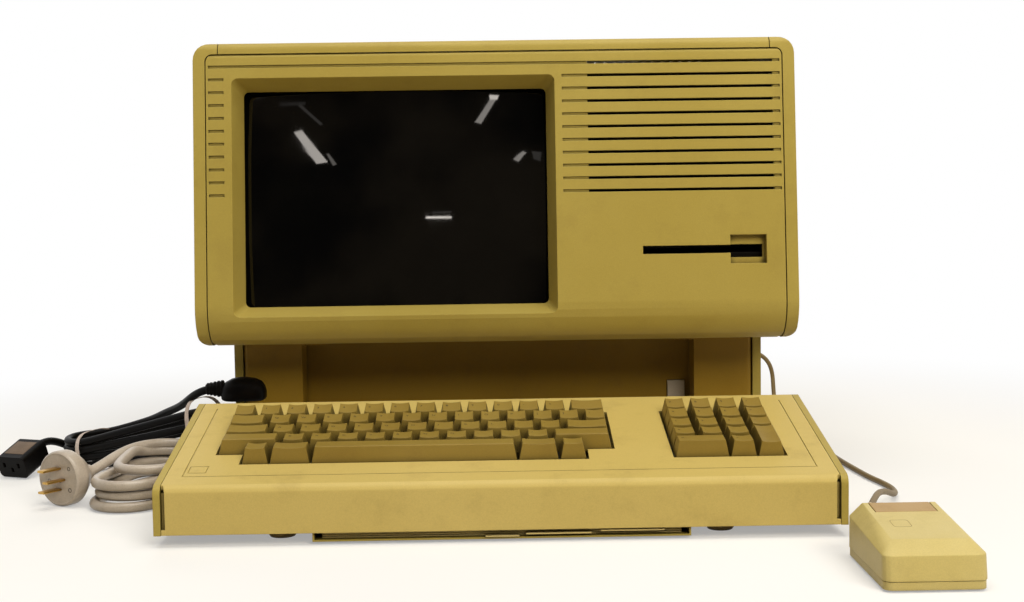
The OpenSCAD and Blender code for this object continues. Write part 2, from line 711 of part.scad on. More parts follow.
// Height of the deck's surface at a depth, and the side outline of the case
function deck_z(y) = keys_z + (y - keys_y) * tan(slope);
function case_line(inset) = let (r = 7)
    concat(
        arc([keyboard_front + r, deck_z(keyboard_front + r) - r / cos(slope)], r - inset, 180, 90 + slope, 5),
        arc([keyboard_back - r, deck_z(keyboard_back - r) - r / cos(slope)], r - inset, 90 + slope, 0, 6));
module keyboard_outline()
    polygon(concat([[keyboard_front, keyboard_z]], case_line(0), [[keyboard_back, keyboard_z]]));

// Openings for the keys, grown by a margin
module key_well(grow) {
    m = cap_margin + grow;
    translate([-m, key_pitch - m]) square([14.5 * key_pitch + 2 * m, 4 * key_pitch + 2 * m]);
    translate([key_pitch - m, -m]) square([12.5 * key_pitch + 2 * m, 2 * key_pitch]);
}
module pad_well(grow) {
    m = cap_margin + grow;
    translate([pad_x - m, -m]) square([4 * key_pitch + 2 * m, 5 * key_pitch + 2 * m]);
}
module on_slope() translate([keys_x, keys_y, keys_z]) rotate([slope, 0, 0]) children();

// Top case with its wells, the fine line round the key field and a bare square at the corner
module keyboard_case() {
    skin = 2.6;
    line = 0.8;
    field = [-17, -22.8];
    field_w = 428;
    badge = 12;
    color(deck_tone) desk() difference() {
        union() {
            across(-deck_x, deck_x) polygon(concat([[keyboard_front, keyboard_z + seam]], case_line(0),
                [[keyboard_back, keyboard_z + seam], [keyboard_back - skin, keyboard_z + seam]],
                [for (i = [len(case_line(skin)) - 1 : -1 : 0]) case_line(skin)[i]],
                [[keyboard_front + skin, keyboard_z + seam]]));
            on_slope() translate([0, 0, -8]) linear_extrude(6) {
                key_well(2);
                pad_well(2);
            }
            both() block([deck_x - 6, keyboard_front + 2, keyboard_z + 4],
                [deck_x, keyboard_front + 6, keyboard_z + 28]);
        }
        both() along(keyboard_front - over, keyboard_front + 4) polygon([[deck_x - cheek_groove, 12],
            [deck_x + over, 12], [deck_x + over, 46], [deck_x - 0.2, 46], [deck_x - cheek_groove, 37]]);
        translate([0, keyboard_back + over, jack_z]) rotate([90, 0, 0]) cylinder(h = 5, r = jack_r);
        on_slope() {
            translate([0, 0, -20]) linear_extrude(30) {
                key_well(0);
                pad_well(0);
            }
            for (x = [field[0], field[0] + field_w - line])
                block([x, field[1], -0.5], [x + line, 118, over]);
            block([field[0], field[1], -0.5], [field[0] + field_w, field[1] + line, over]);
            translate([-8, -10, -0.4]) linear_extrude(2) difference() {
                square(badge + line, center = true);
                square(badge - line, center = true);
            }
        }
    }
}

// Base with the two cheeks, the posts under the key board and a socket for the lead
module keyboard_base() {
    floor_t = 2.5;
    skin = 2.6;
    color(case_tone) desk() difference() {
        union() {
            block([-keyboard_x + 1, keyboard_front + skin + seam, keyboard_z],
                [keyboard_x - 1, keyboard_back - skin - seam, keyboard_z + floor_t]);
            for (x = [-keyboard_x, keyboard_x - cheek]) across(x, x + cheek) keyboard_outline();
            difference() {
                for (x = [-190, -70, 66, 190], y = [keys_y + 8, keys_y + 84])
                    translate([x, y, keyboard_z]) cylinder(h = 50, r = 4);
                on_slope() block([-60, -60, -switch_floor - 3], [500, 200, 60]);
            }
            block([-8, keyboard_back - 9, keyboard_z], [8, keyboard_back - skin - seam, jack_z + 7]);
        }
        translate([0, keyboard_back, jack_z]) rotate([90, 0, 0]) cylinder(h = 12, r = jack_r);
    }
}
module keyboard_feet() color(black_tone) desk()
    for (x = [-149.5, 149.5], y = [keyboard_front + 32, keyboard_back - 20]) translate([x, y, 0]) {
        cylinder(h = 1.5, r1 = 8.5, r2 = 9.5);
        translate([0, 0, 1.5]) cylinder(h = keyboard_z - 1.5, r = 9.5);
    }

// Key board: one plate with a square guide under the middle of every key
module key_guide(x, y) translate([x, y, -switch_floor]) difference() {
    translate([-switch_size / 2, -switch_size / 2, 0]) cube([switch_size, switch_size, 8]);
    translate([-stem / 2 - seam, -stem / 2 - seam, 0.5]) cube([stem + 2 * seam, stem + 2 * seam, 9]);
}
module key_switches() color(steel_tone) on_deck() {
    block([-4, -4, -switch_floor - 3], [pad_x + 4 * key_pitch + 4, 5 * key_pitch + 4, -switch_floor]);
    for (r = [0 : 4], k = [0 : len(rows[r][1]) - 1])
        let (w = rows[r][1])
            key_guide((rows[r][0] + reach(w, k) + w[k] / 2) * key_pitch, (4.5 - r) * key_pitch);
    for (p = pad_places) key_guide(pad_x + (p[0] + p[2] / 2) * key_pitch, (p[1] + p[3] / 2) * key_pitch);
}

// Keycap: a sloping block whose top is turned, hollowed for the finger and carried on a stem
module keycap(x, y, w, d, tip, lift) {
    top_w = w - 6.2;
    top_d = d - 5.2;
    dip = 0.9;
    half = top_w / 2 + 0.6;
    bend = (half * half + dip * dip) / (2 * dip);
    facets = max(24, 2 * round(450 / asin(top_w / 2 / bend)));
    translate([x + w / 2, y + d / 2, 0]) {
        difference() {
            hull() {
                translate([0, 0, -cap_drop]) linear_extrude(0.6)
                    square([w - cap_gap, d - cap_gap], center = true);
                translate([0, 0.8, cap_rise + lift]) rotate([tip, 0, 0])
                    linear_extrude(0.6) square([top_w, top_d], center = true);
            }
            if (w < 2 * key_pitch) translate([0, 0.8, cap_rise + lift]) rotate([tip - 90, 0, 0])
                translate([0, -bend - 0.6 + dip, -top_d]) cylinder(h = 2 * top_d, r = bend, $fn = facets);
        }
        translate([-stem / 2, -stem / 2, -10]) cube([stem, stem, 10]);
    }
}
module row_key(r, k) {
    w = rows[r][1];
    keycap((rows[r][0] + reach(w, k)) * key_pitch, (4 - r) * key_pitch, w[k] * key_pitch, key_pitch,
        row_tip[r], row_lift[r]);
}
module key_row(r, first, last) color(key_tone) on_deck() for (k = [first : last]) row_key(r, k);
module keys_row_1() key_row(0, 0, 13);
module keys_row_2() key_row(1, 0, 13);
module keys_row_3() key_row(2, 0, 11);
module keys_row_4() key_row(3, 1, 10);
module keys_row_5() {
    key_row(4, 0, 1);
    key_row(4, 3, 4);
}
module key_space() key_row(4, 2, 2);
module key_return() key_row(2, 12, 12);
module key_shift_left() key_row(3, 0, 0);
module key_shift_right() key_row(3, 11, 11);

// Keypad: column, row, width and depth of each key, counted from the near left corner
pad_places = concat([for (r = [2 : 4], c = [0 : 3]) [c, r, 1, 1]], [for (c = [0 : 2]) [c, 1, 1, 1]],
    [[0, 0, 2, 1], [2, 0, 1, 1], [3, 0, 1, 2]]);
module pad_key(p) keycap(pad_x + p[0] * key_pitch, p[1] * key_pitch, p[2] * key_pitch, p[3] * key_pitch,
    p[3] == 2 ? 0 : row_tip[4 - p[1]], p[3] == 2 ? 0.3 : row_lift[4 - p[1]]);
module keypad_keys() color(key_tone) on_deck() for (i = [0 : len(pad_places) - 2]) pad_key(pad_places[i]);
module keypad_enter() color(key_tone) on_deck() pad_key(pad_places[len(pad_places) - 1]);

// Tray under the case and the three reference cards that pull out of it
tray_floor = 1.8;
module card_tray() {
    t = 1.2;
    color(case_tone) desk() difference() {
        block([-tray_x, keyboard_front + 3, tray_floor], [tray_x, keyboard_front + 3 + tray_l, keyboard_z]);
        block([-tray_x + t, keyboard_front + 2, tray_floor + t],
            [tray_x - t, keyboard_front + 3 + tray_l - t, keyboard_z + over]);
    }
}
module reference_card(level) {
    y = keyboard_front + 7;
    z = tray_floor + 1.2 + seam + level * card_step;
    color(deck_tone) desk() {
        block([-card_w / 2, y, z], [card_w / 2, y + card_l, z + card_t]);
        block([tabs[level][0], y - tab_l, z], [tabs[level][0] + tabs[level][1], y + over, z + card_t]);
    }
}
module card_lower() reference_card(0);
module card_middle() reference_card(1);
module card_upper() reference_card(2);

// ---- Mouse: the button and the lead are at its far end ----

module mouse_solid(i) {
    w = mouse_w / 2 - i;
    l = mouse_l / 2 - i;
    r = mouse_corner - i;
    top_w = w - mouse_facet;
    hull($fn = 16) {
        translate([0, 0, mouse_seam]) linear_extrude(2) rounded(2 * w, 2 * l, r);
        for (x = [-1, 1]) {
            translate([x * (w - r), 2.4 - l + r, mouse_seam]) cylinder(h = palm_z - i - mouse_seam, r = r);
            translate([x * (w - r), l - r, mouse_seam]) cylinder(h = far_z - i - mouse_seam, r = r);
        }
        translate([0, palm_crease[0] - mouse_l / 2, palm_crease[1] - i - 0.5])
            linear_extrude(0.5) square([2 * top_w, 1], center = true);
        translate([0, l - mouse_facet, mouse_h - i - 0.5])
            linear_extrude(0.5) square([2 * top_w, 1], center = true);
    }
}
module button_space(gap, low) block([-button_w / 2 - gap, button_y - gap, low],
    [button_w / 2 + gap, mouse_l / 2 + over, mouse_h + over]);
module mouse_shell() color(mouse_tone) on_mouse() {
    difference() {
        mouse_solid(0);
        translate([0, 0, -0.1]) mouse_solid(mouse_skin);
        button_space(seam, button_z);
    }
    translate([mouse_lead_x, mouse_l / 2 - 0.5, 15]) rotate([-90, 0, 0]) difference() {
        cylinder(h = 8, r1 = 5, r2 = 3.6);
        translate([0, 0, 4]) cylinder(h = 5, r = mouse_lead_d / 2 + 0.05);
    }
}
module mouse_button() color("#a98258") on_mouse() {
    intersection() {
        difference() {
            mouse_solid(0);
            translate([0, 0, -2.5]) mouse_solid(0);
        }
        button_space(0, button_z + 1.6);
    }
    block([-3, button_y + 8, 24], [3, button_y + 14, mouse_h - 2.4]);
}
module mouse_base() {
    low = 1.2;
    floor_z = low + 2;
    ball_y = -6;
    reach_r = ball_d / 2 + roller_gap + roller_r;
    color(mouse_tone) on_mouse() {
        difference() {
            union() {
                translate([0, 0, low]) linear_extrude(mouse_seam - seam - low)
                    rounded(mouse_w - 1, mouse_l - 1, mouse_corner - 0.5);
                for (y = [-34, 34]) block([-16, y - 4, 0], [16, y + 4, low + 0.1]);
            }
            translate([0, 0, floor_z]) linear_extrude(mouse_h)
                rounded(mouse_w - 5, mouse_l - 5, mouse_corner - 2.5);
            translate([0, ball_y, 0]) cylinder(h = 10, r = 9.4);
        }
        for (s = [-1, 1]) {
            axle_post([reach_r, ball_y + s * 10, ball_d / 2], [90, 0, 0]);
            axle_post([s * 10, ball_y + reach_r, ball_d / 2], [0, 90, 0]);
        }
        block([-3, button_y + 7, floor_z - 0.1], [3, button_y + 15, 22]);
    }
}
module axle_post(at, turn) difference() {
    translate([at[0] - 2, at[1] - 2, 3.1]) cube([4, 4, at[2] + 1]);
    translate(at) rotate(turn) cylinder(h = 6, r = 1.3, center = true);
}
module mouse_roller() {
    rotate([90, 0, 0]) cylinder(h = 15, r = roller_r, center = true);
    rotate([90, 0, 0]) cylinder(h = 24, r = 1.25, center = true);
}
module mouse_ball() color("#4d4d50") on_mouse() translate([0, -6, ball_d / 2]) sphere(ball_d / 2);
module mouse_roller_x() color(steel_tone) on_mouse()
    translate([ball_d / 2 + roller_gap + roller_r, -6, ball_d / 2]) mouse_roller();
module mouse_roller_y() color(steel_tone) on_mouse()
    translate([0, -6 + ball_d / 2 + roller_gap + roller_r, ball_d / 2]) rotate([0, 0, 90]) mouse_roller();

// ---- Leads ----

module mouse_lead() color("#8a7a55") desk() cord(smooth(mouse_route, 2), mouse_lead_d, 8);
module mouse_plug() color(case_tone) desk()
    translate([mouse_port_x, rear_y + 7, port_z]) rotate([-90, 0, 0]) {
    linear_extrude(24) rounded(33, 15, 4);
    translate([0, 0, 24]) cylinder(h = 7, r1 = 6, r2 = 3.4);
    for (x = [-12.6, 12.6]) translate([x, 0, 24]) cylinder(h = 4, r = 3);
}

// Grey mains lead: a round three-blade plug, a looped hank on the desk and the socket at the inlet
function turn_of(a, b) = atan2(b[1] - a[1], b[0] - a[0]);
module grey_plug() color(grey_tone) desk()
    translate([-332, -240, 21]) rotate([0, 0, -31.5]) rotate([90, 0, 0]) {
    translate([0, 0, -11]) cylinder(h = 11, r = 21);
    translate([0, 0, -25]) cylinder(h = 14.1, r1 = 11, r2 = 21);
    translate([0, 0, -32]) cylinder(h = 7.1, r = 6);
    for (z = [-7.6, 8.2]) block([-3.2, z - 0.9, -0.1], [3.2, z + 0.9, 17]);
    block([1.8, -0.9, -0.1], [7.4, 0.9, 17]);
}
module grey_lead() color(grey_tone) desk() {
    cord(smooth(grey_start, 2), grey_lead_d, 10);
    cord(smooth(grey_route, 2), grey_lead_d, 10);
}
module grey_hank() color(grey_tone) desk() translate([grey_near[0], grey_near[1], 0])
    rotate([0, 0, turn_of(grey_near, grey_far)]) linear_extrude(grey_hank_h)
        hank_outline(flat(grey_far - grey_near), grey_hank_r);
module grey_socket() color(grey_tone) desk() translate([inlet_x, rear_y, inlet_z]) {
    difference() {
        block([-12.3, -14, -8.3], [12.3, 4.1, 8.3]);
        for (b = [[-7, -2], [7, -2], [0, 2.4]])
            block([b[0] - 1.6, -15, b[1] - 2.6], [b[0] + 1.6, 0, b[1] + 2.6]);
    }
    translate([0, 32, 0]) rotate([90, 0, 0]) linear_extrude(28) rounded(28, 20, 4);
    translate([0, 31.9, 0]) rotate([-90, 0, 0]) cylinder(h = 8, r1 = 8, r2 = 5);
    translate([0, 39.8, 0]) rotate([-90, 0, 0]) cylinder(h = 12, r = 5);
}

// Black mains lead: an appliance socket, a hank that leans up to the right and a moulded plug on it
module black_hank() color(black_tone) desk() hull() {
    translate(black_near) cylinder(h = black_near_h, r = black_hank_r);
    translate(black_far) cylinder(h = black_far_h, r = black_hank_r);
}
module black_socket() color(black_tone) desk() translate([-402, -126, 9.7]) rotate([21, 0, -22]) {
    rotate([-90, 0, 0]) difference() {
        linear_extrude(30) rounded(28, 19, 4);
        for (b = [[-7, -2], [7, -2], [0, 2.4]])
            translate([b[0] - 1.2, b[1] - 2.2, -over]) cube([2.4, 4.4, 13]);
    }
    translate([0, 29.9, 0]) rotate([-90, 0, 0]) cylinder(h = 8, r1 = 7, r2 = 4.4);
}
module black_lead() color(black_tone) desk() {
    cord(smooth(black_start, 2), black_lead_d, 10);
    cord(smooth(black_link, 2), black_lead_d, 10);
}
module black_plug() color(black_tone) desk()
    translate([-206, -148, black_far[2] + black_far_h + seam]) {
    linear_extrude(10) rounded(36, 24, 8);
    hull($fn = 32) {
        translate([0, 0, 9]) linear_extrude(1) rounded(36, 24, 8);
        translate([0, 0, 18]) linear_extrude(1) rounded(22, 12, 5);
    }
    translate([-17, 0, 9.5]) rotate([0, -90, 0]) cylinder(h = 12, r1 = 7, r2 = 4.4);
    for (x = [-6, 6]) translate([x, 11.5, 9]) rotate([-90, 0, 0]) cylinder(h = 17, r = 2.2);
}

base_pan();
base_feet();
case_left();
case_right();
top_cover();
front_panel();
rear_panel();
column_front();
power_button();
picture_tube();
deflection_yoke();
tube_bracket();
disk_drive();
power_supply();
card_cage();
circuit_boards();
port_panel();
mains_inlet();
speaker();
chassis_shelf();
panel_tab_left();
panel_tab_right();
rear_knob_left();
rear_knob_right();
reset_button();
keyboard_case();
keyboard_base();
keyboard_feet();
key_switches();
card_tray();
card_upper();
card_middle();
card_lower();
keys_row_1();
keys_row_2();
keys_row_3();
keys_row_4();
keys_row_5();
key_space();
key_return();
key_shift_left();
key_shift_right();
keypad_keys();
keypad_enter();
mouse_shell();
mouse_base();
mouse_button();
mouse_ball();
mouse_roller_x();
mouse_roller_y();
mouse_lead();
mouse_plug();
grey_plug();
grey_lead();
grey_hank();
grey_socket();
black_socket();
black_lead();
black_hank();
black_plug();
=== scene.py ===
import json
import math

import bmesh
import bpy
from mathutils import Matrix, Vector
from mathutils.bvhtree import BVHTree

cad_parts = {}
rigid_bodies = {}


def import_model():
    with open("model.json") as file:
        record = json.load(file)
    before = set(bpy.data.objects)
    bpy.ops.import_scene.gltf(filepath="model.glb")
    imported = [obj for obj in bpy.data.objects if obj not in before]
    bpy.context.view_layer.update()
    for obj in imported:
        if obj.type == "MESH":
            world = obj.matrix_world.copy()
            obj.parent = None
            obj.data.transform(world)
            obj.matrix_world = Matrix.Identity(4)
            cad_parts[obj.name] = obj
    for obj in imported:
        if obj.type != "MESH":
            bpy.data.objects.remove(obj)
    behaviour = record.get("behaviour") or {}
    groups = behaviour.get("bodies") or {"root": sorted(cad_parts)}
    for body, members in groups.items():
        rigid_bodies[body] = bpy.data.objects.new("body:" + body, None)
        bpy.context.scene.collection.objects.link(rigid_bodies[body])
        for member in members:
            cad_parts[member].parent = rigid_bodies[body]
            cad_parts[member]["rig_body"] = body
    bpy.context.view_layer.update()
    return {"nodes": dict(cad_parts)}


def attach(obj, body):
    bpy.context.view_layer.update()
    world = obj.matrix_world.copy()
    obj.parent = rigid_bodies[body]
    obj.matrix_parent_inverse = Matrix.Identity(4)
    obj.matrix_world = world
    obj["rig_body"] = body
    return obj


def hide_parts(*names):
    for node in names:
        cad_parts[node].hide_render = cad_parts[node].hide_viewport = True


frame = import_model()
nodes = frame["nodes"]

# ---- Camera, desk and lamps ----
# The set stands on a plain white desk in a white room. A large soft lamp hangs over it, one fills
# from the front right and one from behind, and the lamps of a dark far side mirror in the screen.

SET_X, SET_Y = 22, -163.75  # the middle of the whole set, seen from the middle of the unit's front


def at(x, y, z):
    """A place in the main unit's own millimetres, as a point of the scene."""
    return Vector(((x - SET_X) / 1000, (y - SET_Y) / 1000, z / 1000))


scene = bpy.context.scene
scene.view_settings.view_transform = "Standard"

# The eye is 1.2 m in front of the middle of the set, and looks slightly down on it
yaw, pitch, roll = (math.radians(a) for a in (0.7105, 4.377, -0.8136))
ahead = Vector((math.sin(yaw) * math.cos(pitch), math.cos(yaw) * math.cos(pitch), -math.sin(pitch)))
sideways = Vector((math.cos(yaw), -math.sin(yaw), 0))
upward = sideways.cross(ahead)
camera_right = sideways * math.cos(roll) + upward * math.sin(roll)
camera_up = upward * math.cos(roll) - sideways * math.sin(roll)
eye = bpy.data.cameras.new("camera")
eye.sensor_fit = "HORIZONTAL"
eye.sensor_width = 36
eye.lens = 53.917
eye.clip_end = 100
camera = bpy.data.objects.new("camera", eye)
turn = Matrix((camera_right, camera_up, -ahead)).transposed().to_4x4()
camera.matrix_world = Matrix.Translation(at(-3.66, -1381.26, 237.23)) @ turn
scene.collection.objects.link(camera)
scene.camera = camera


def linear(r, g, b):
    """A colour given in 0 to 255, for a node socket."""
    wide = [(c / 255 / 12.92) if c <= 10 else ((c / 255 + 0.055) / 1.055) ** 2.4 for c in (r, g, b)]
    return (*wide, 1.0)


def put(tree, kind, settings=None, **sockets):
    """Adds a shader node, with its settings, and values or links for its sockets."""
    node = tree.nodes.new("ShaderNode" + kind)
    for key, value in (settings or {}).items():
        setattr(node, key, value)
    for key, value in sockets.items():
        plug = node.inputs[int(key[1:])] if key[0] == "_" else node.inputs[key.replace("_", " ")]
        if isinstance(value, bpy.types.NodeSocket):
            tree.links.new(value, plug)
        else:
            plug.default_value = value
    return node


def sum_of(tree, kind, a, b, c=0.0):
    """A sum of two values, or of three, such as a product plus a value."""
    return put(tree, "Math", {"operation": kind}, _0=a, _1=b, _2=c).outputs[0]


def ramp(tree, value, low, high, start=0.0, end=1.0):
    """A value that eases from start to end as the given one goes from low to high."""
    node = put(tree, "MapRange", {"interpolation_type": "SMOOTHSTEP"}, Value=value)
    for key, number in zip(("From Min", "From Max", "To Min", "To Max"), (low, high, start, end)):
        node.inputs[key].default_value = number
    return node.outputs["Result"]


def mixed(tree, part, first, second):
    """The first colour with a part of the second one."""
    return put(tree, "Mix", {"data_type": "RGBA"}, _0=part, _6=first, _7=second).outputs[2]


def seen_rays(tree):
    """1 for what is seen directly, through glass or as a mirror image, and 0 for all other light."""
    path = put(tree, "LightPath")
    direct = sum_of(tree, "MAXIMUM", path.outputs["Is Camera Ray"], path.outputs["Is Glossy Ray"])
    return sum_of(tree, "MAXIMUM", direct, path.outputs["Is Transmission Ray"])


def blank(name):
    """A material with an empty tree and its output node."""
    material = bpy.data.materials.new(name)
    material.use_nodes = True
    material.node_tree.nodes.clear()
    return material, material.node_tree


desk_finish, tree = blank("white_desk")
spot = put(tree, "NewGeometry").outputs["Position"]
away = put(tree, "VectorMath", {"operation": "LENGTH"}, _0=spot).outputs["Value"]
fade = ramp(tree, away, 0.36, 1.0)
seen = seen_rays(tree)
haze = put(tree, "TexNoise", Vector=spot, Scale=2.0, Detail=2.0).outputs["Fac"]
paint = mixed(tree, haze, linear(247, 245, 238), linear(252, 250, 245))
paint = mixed(tree, seen, linear(198, 191, 174), paint)
matt = put(tree, "BsdfDiffuse", Color=paint).outputs[0]
white = put(tree, "Emission", Strength=1.0).outputs[0]
part = sum_of(tree, "MULTIPLY", seen, sum_of(tree, "MULTIPLY_ADD", fade, 0.65, 0.35))
desk_mix = put(tree, "MixShader", Fac=part, _1=matt, _2=white).outputs[0]
put(tree, "OutputMaterial", Surface=desk_mix)

desk_mesh = bpy.data.meshes.new("desk")
desk_mesh.from_pydata([(-9, -9, 0), (9, -9, 0), (9, 9, 0), (-9, 9, 0)], [], [(0, 1, 2, 3)])
desk = bpy.data.objects.new("desk", desk_mesh)
desk.location.z = -0.0002  # a hair under the feet, so that the two never share a face
desk_mesh.materials.append(desk_finish)
scene.collection.objects.link(desk)

room = bpy.data.worlds.new("white_room")
room.use_nodes = True
room.node_tree.nodes.clear()
dim = put(room.node_tree, "Background", Color=(1.0, 0.97, 0.93, 1), Strength=0.14).outputs[0]
bright = put(room.node_tree, "Background", Color=(1, 1, 1, 1), Strength=1.0).outputs[0]
room_mix = put(room.node_tree, "MixShader", Fac=seen_rays(room.node_tree), _1=dim, _2=bright).outputs[0]
put(room.node_tree, "OutputWorld", Surface=room_mix)
scene.world = room


def lamp(name, place, aim, size, watts, tone):
    """A soft lamp at a place, aimed at a point."""
    light = bpy.data.lights.new(name, "AREA")
    light.shape = "RECTANGLE"
    light.size, light.size_y = size
    light.energy = watts
    light.color = tone
    holder = bpy.data.objects.new(name, light)
    holder.location = place
    holder.rotation_euler = (Vector(aim) - Vector(place)).to_track_quat("-Z", "Y").to_euler()
    scene.collection.objects.link(holder)
    return holder


lamp("top_lamp", (0.1, -0.45, 2.1), (0, 0.0, 0), (1.8, 1.4), 30, (1, 0.96, 0.89))
lamp("front_lamp", (0.9, -2.05, 1.4), (0, 0, 0.2), (1.2, 0.9), 37, (1, 0.96, 0.9)).visible_glossy = False
lamp("rear_lamp", (-0.5, 2.3, 1.5), (0, 0.2, 0.2), (1.4, 0.9), 20, (1, 0.96, 0.9)).visible_glossy = False

# The dark far side of the room and its few lights, which only glass and gloss mirror. Each light has
# its power and its four corners, across and up, on one wall.
FAR_WALL_Y = -3.0
far_side, tree = blank("far_side")
spot = put(tree, "NewGeometry").outputs["Position"]
murk = put(tree, "TexNoise", Vector=spot, Scale=1.1, Detail=3.0).outputs["Fac"]
murk = mixed(tree, ramp(tree, murk, 0.35, 0.65), (0.015, 0.013, 0.012, 1), (0.11, 0.085, 0.055, 1))
put(tree, "OutputMaterial", Surface=put(tree, "Emission", Color=murk, Strength=1.0).outputs[0])
far_parts = [("far_side", far_side, [(-6, -0.62, 0.004), (6, -0.62, 0.004), (6, -3.2, 0.05), (-6, -3.2, 0.05),
                                     (6, -3.6, 4.5), (-6, -3.6, 4.5)], [(0, 1, 2, 3), (3, 2, 4, 5)])]
for k, (power, *corners) in enumerate((
        (8.0, (-1.08, 1.36), (-1.01, 1.37), (-0.82, 1.15), (-0.91, 1.14)),
        (2.0, (-0.83, 1.21), (-0.81, 1.21), (-0.75, 1.13), (-0.78, 1.12)),
        (0.6, (-1.02, 1.53), (-1.01, 1.55), (-0.83, 1.4), (-0.85, 1.39)),
        (0.5, (-1.4, 1.66), (-1.32, 1.65), (-1.3, 1.61), (-1.36, 1.62)),
        (0.35, (-1.18, 1.56), (-0.95, 1.55), (-0.96, 1.53), (-1.18, 1.54)),
        (4.5, (0.38, 1.54), (0.43, 1.54), (0.33, 1.38), (0.28, 1.39)),
        (11.0, (0.37, 1.57), (0.45, 1.57), (0.44, 1.54), (0.38, 1.54)),
        (18.0, (-0.07, 0.717), (0.12, 0.717), (0.12, 0.703), (-0.07, 0.703)),
        (0.8, (-0.02, 0.75), (0.12, 0.755), (0.12, 0.745), (-0.02, 0.74)),
        (4.5, (0.54, 1.12), (0.6, 1.17), (0.62, 1.15), (0.57, 1.1)),
        (0.6, (0.65, 1.16), (0.71, 1.14), (0.7, 1.08), (0.66, 1.1)))):
    glow, tree = blank("far_light_%d" % k)
    bulb = put(tree, "Emission", Color=(1, 0.93, 0.85, 1), Strength=power).outputs[0]
    put(tree, "OutputMaterial", Surface=bulb)
    far_parts.append(("far_light", glow, [(x, FAR_WALL_Y, z) for x, z in corners], [(0, 1, 2, 3)]))
for name, finish, points, faces in far_parts:
    mesh = bpy.data.meshes.new(name)
    mesh.from_pydata(points, [], faces)
    mesh.materials.append(finish)
    backdrop = bpy.data.objects.new(name, mesh)
    backdrop.visible_camera = backdrop.visible_diffuse = backdrop.visible_shadow = False
    scene.collection.objects.link(backdrop)

# ---- Leads ----
# A thin brown lead runs from the mouse to its port at the back. A grey mains lead feeds the unit
# and lies looped at its left, and a black one lies bundled behind those loops. All are soft vinyl.


def group(name, inputs, outputs):
    """A shader node group with named sockets, and its two end nodes."""
    tree = bpy.data.node_groups.new(name, "ShaderNodeTree")
    kinds = {"colour": "NodeSocketColor", "value": "NodeSocketFloat", "vector": "NodeSocketVector"}
    for label, kind, value in inputs:
        socket = tree.interface.new_socket(label, in_out="INPUT", socket_type=kinds[kind])
        socket.default_value = value
    for label, kind in outputs:
        tree.interface.new_socket(label, in_out="OUTPUT", socket_type=kinds[kind])
    return tree, tree.nodes.new("NodeGroupInput").outputs, tree.nodes.new("NodeGroupOutput").inputs


def placed(tree, source, **values):
    """Places a node group in a material, with that material's own values."""
    node = tree.nodes.new("ShaderNodeGroup")
    node.node_tree = source
    for key, value in values.items():
        plug = node.inputs[key.replace("_", " ")]
        if isinstance(value, bpy.types.NodeSocket):
            tree.links.new(value, plug)
        else:
            plug.default_value = value
    return node.outputs


# Worn edges and painted shade in the corners: a mask for each, and the normal with its edges rounded
edge_wear_and_shade, given, made = group(
    "edge_wear_and_shade", [("Radius", "value", 0.0006), ("Corner", "value", 0.006)],
    [("Edge", "value"), ("Dust", "value"), ("Rounded", "vector")])
rounding = put(edge_wear_and_shade, "Bevel", {"samples": 6}, Radius=given["Radius"]).outputs[0]
flat = put(edge_wear_and_shade, "NewGeometry").outputs["Normal"]
along = put(edge_wear_and_shade, "VectorMath", {"operation": "DOT_PRODUCT"}, _0=rounding, _1=flat).outputs["Value"]
breakup = put(edge_wear_and_shade, "TexNoise", Vector=put(edge_wear_and_shade, "TexCoord").outputs["Object"],
              Scale=140.0, Detail=3.0).outputs["Fac"]
edge = sum_of(edge_wear_and_shade, "MULTIPLY", ramp(edge_wear_and_shade, along, 0.995, 0.86),
              ramp(edge_wear_and_shade, breakup, 0.32, 0.62))
# The corner mask is ambient occlusion, so the darkening that it drives is painted shade
open_sky = put(edge_wear_and_shade, "AmbientOcclusion", {"samples": 6}, Distance=given["Corner"]).outputs["AO"]
edge_wear_and_shade.links.new(edge, made["Edge"])
edge_wear_and_shade.links.new(ramp(edge_wear_and_shade, open_sky, 0.82, 0.35), made["Dust"])
edge_wear_and_shade.links.new(rounding, made["Rounded"])

# Soft vinyl skin: a slight waviness, dust and handling marks
vinyl_skin, given, made = group(
    "vinyl_skin", [("Tone", "colour", (0.1, 0.1, 0.1, 1)), ("Dusty", "colour", (0.5, 0.5, 0.5, 1)),
                   ("Dust", "value", 0.3), ("Gloss", "value", 0.4), ("Grain", "value", 900.0)],
    [("Colour", "colour"), ("Roughness", "value"), ("Height", "value")])
spot = put(vinyl_skin, "TexCoord").outputs["Object"]
marks = put(vinyl_skin, "TexNoise", Vector=spot, Scale=46.0, Detail=5.0, Roughness=0.65).outputs["Fac"]
specks = put(vinyl_skin, "TexNoise", Vector=spot, Scale=given["Grain"], Detail=2.0).outputs["Fac"]
soil = sum_of(vinyl_skin, "MULTIPLY", ramp(vinyl_skin, marks, 0.42, 0.72), given["Dust"])
shade = mixed(vinyl_skin, soil, given["Tone"], given["Dusty"])
shade = mixed(vinyl_skin, ramp(vinyl_skin, specks, 0.3, 0.75, 0.0, 0.12), shade, (0, 0, 0, 1))
vinyl_skin.links.new(shade, made["Colour"])
vinyl_skin.links.new(sum_of(vinyl_skin, "MULTIPLY_ADD", marks, 0.22, given["Gloss"]), made["Roughness"])
vinyl_skin.links.new(sum_of(vinyl_skin, "MULTIPLY_ADD", marks, 0.6, specks), made["Height"])


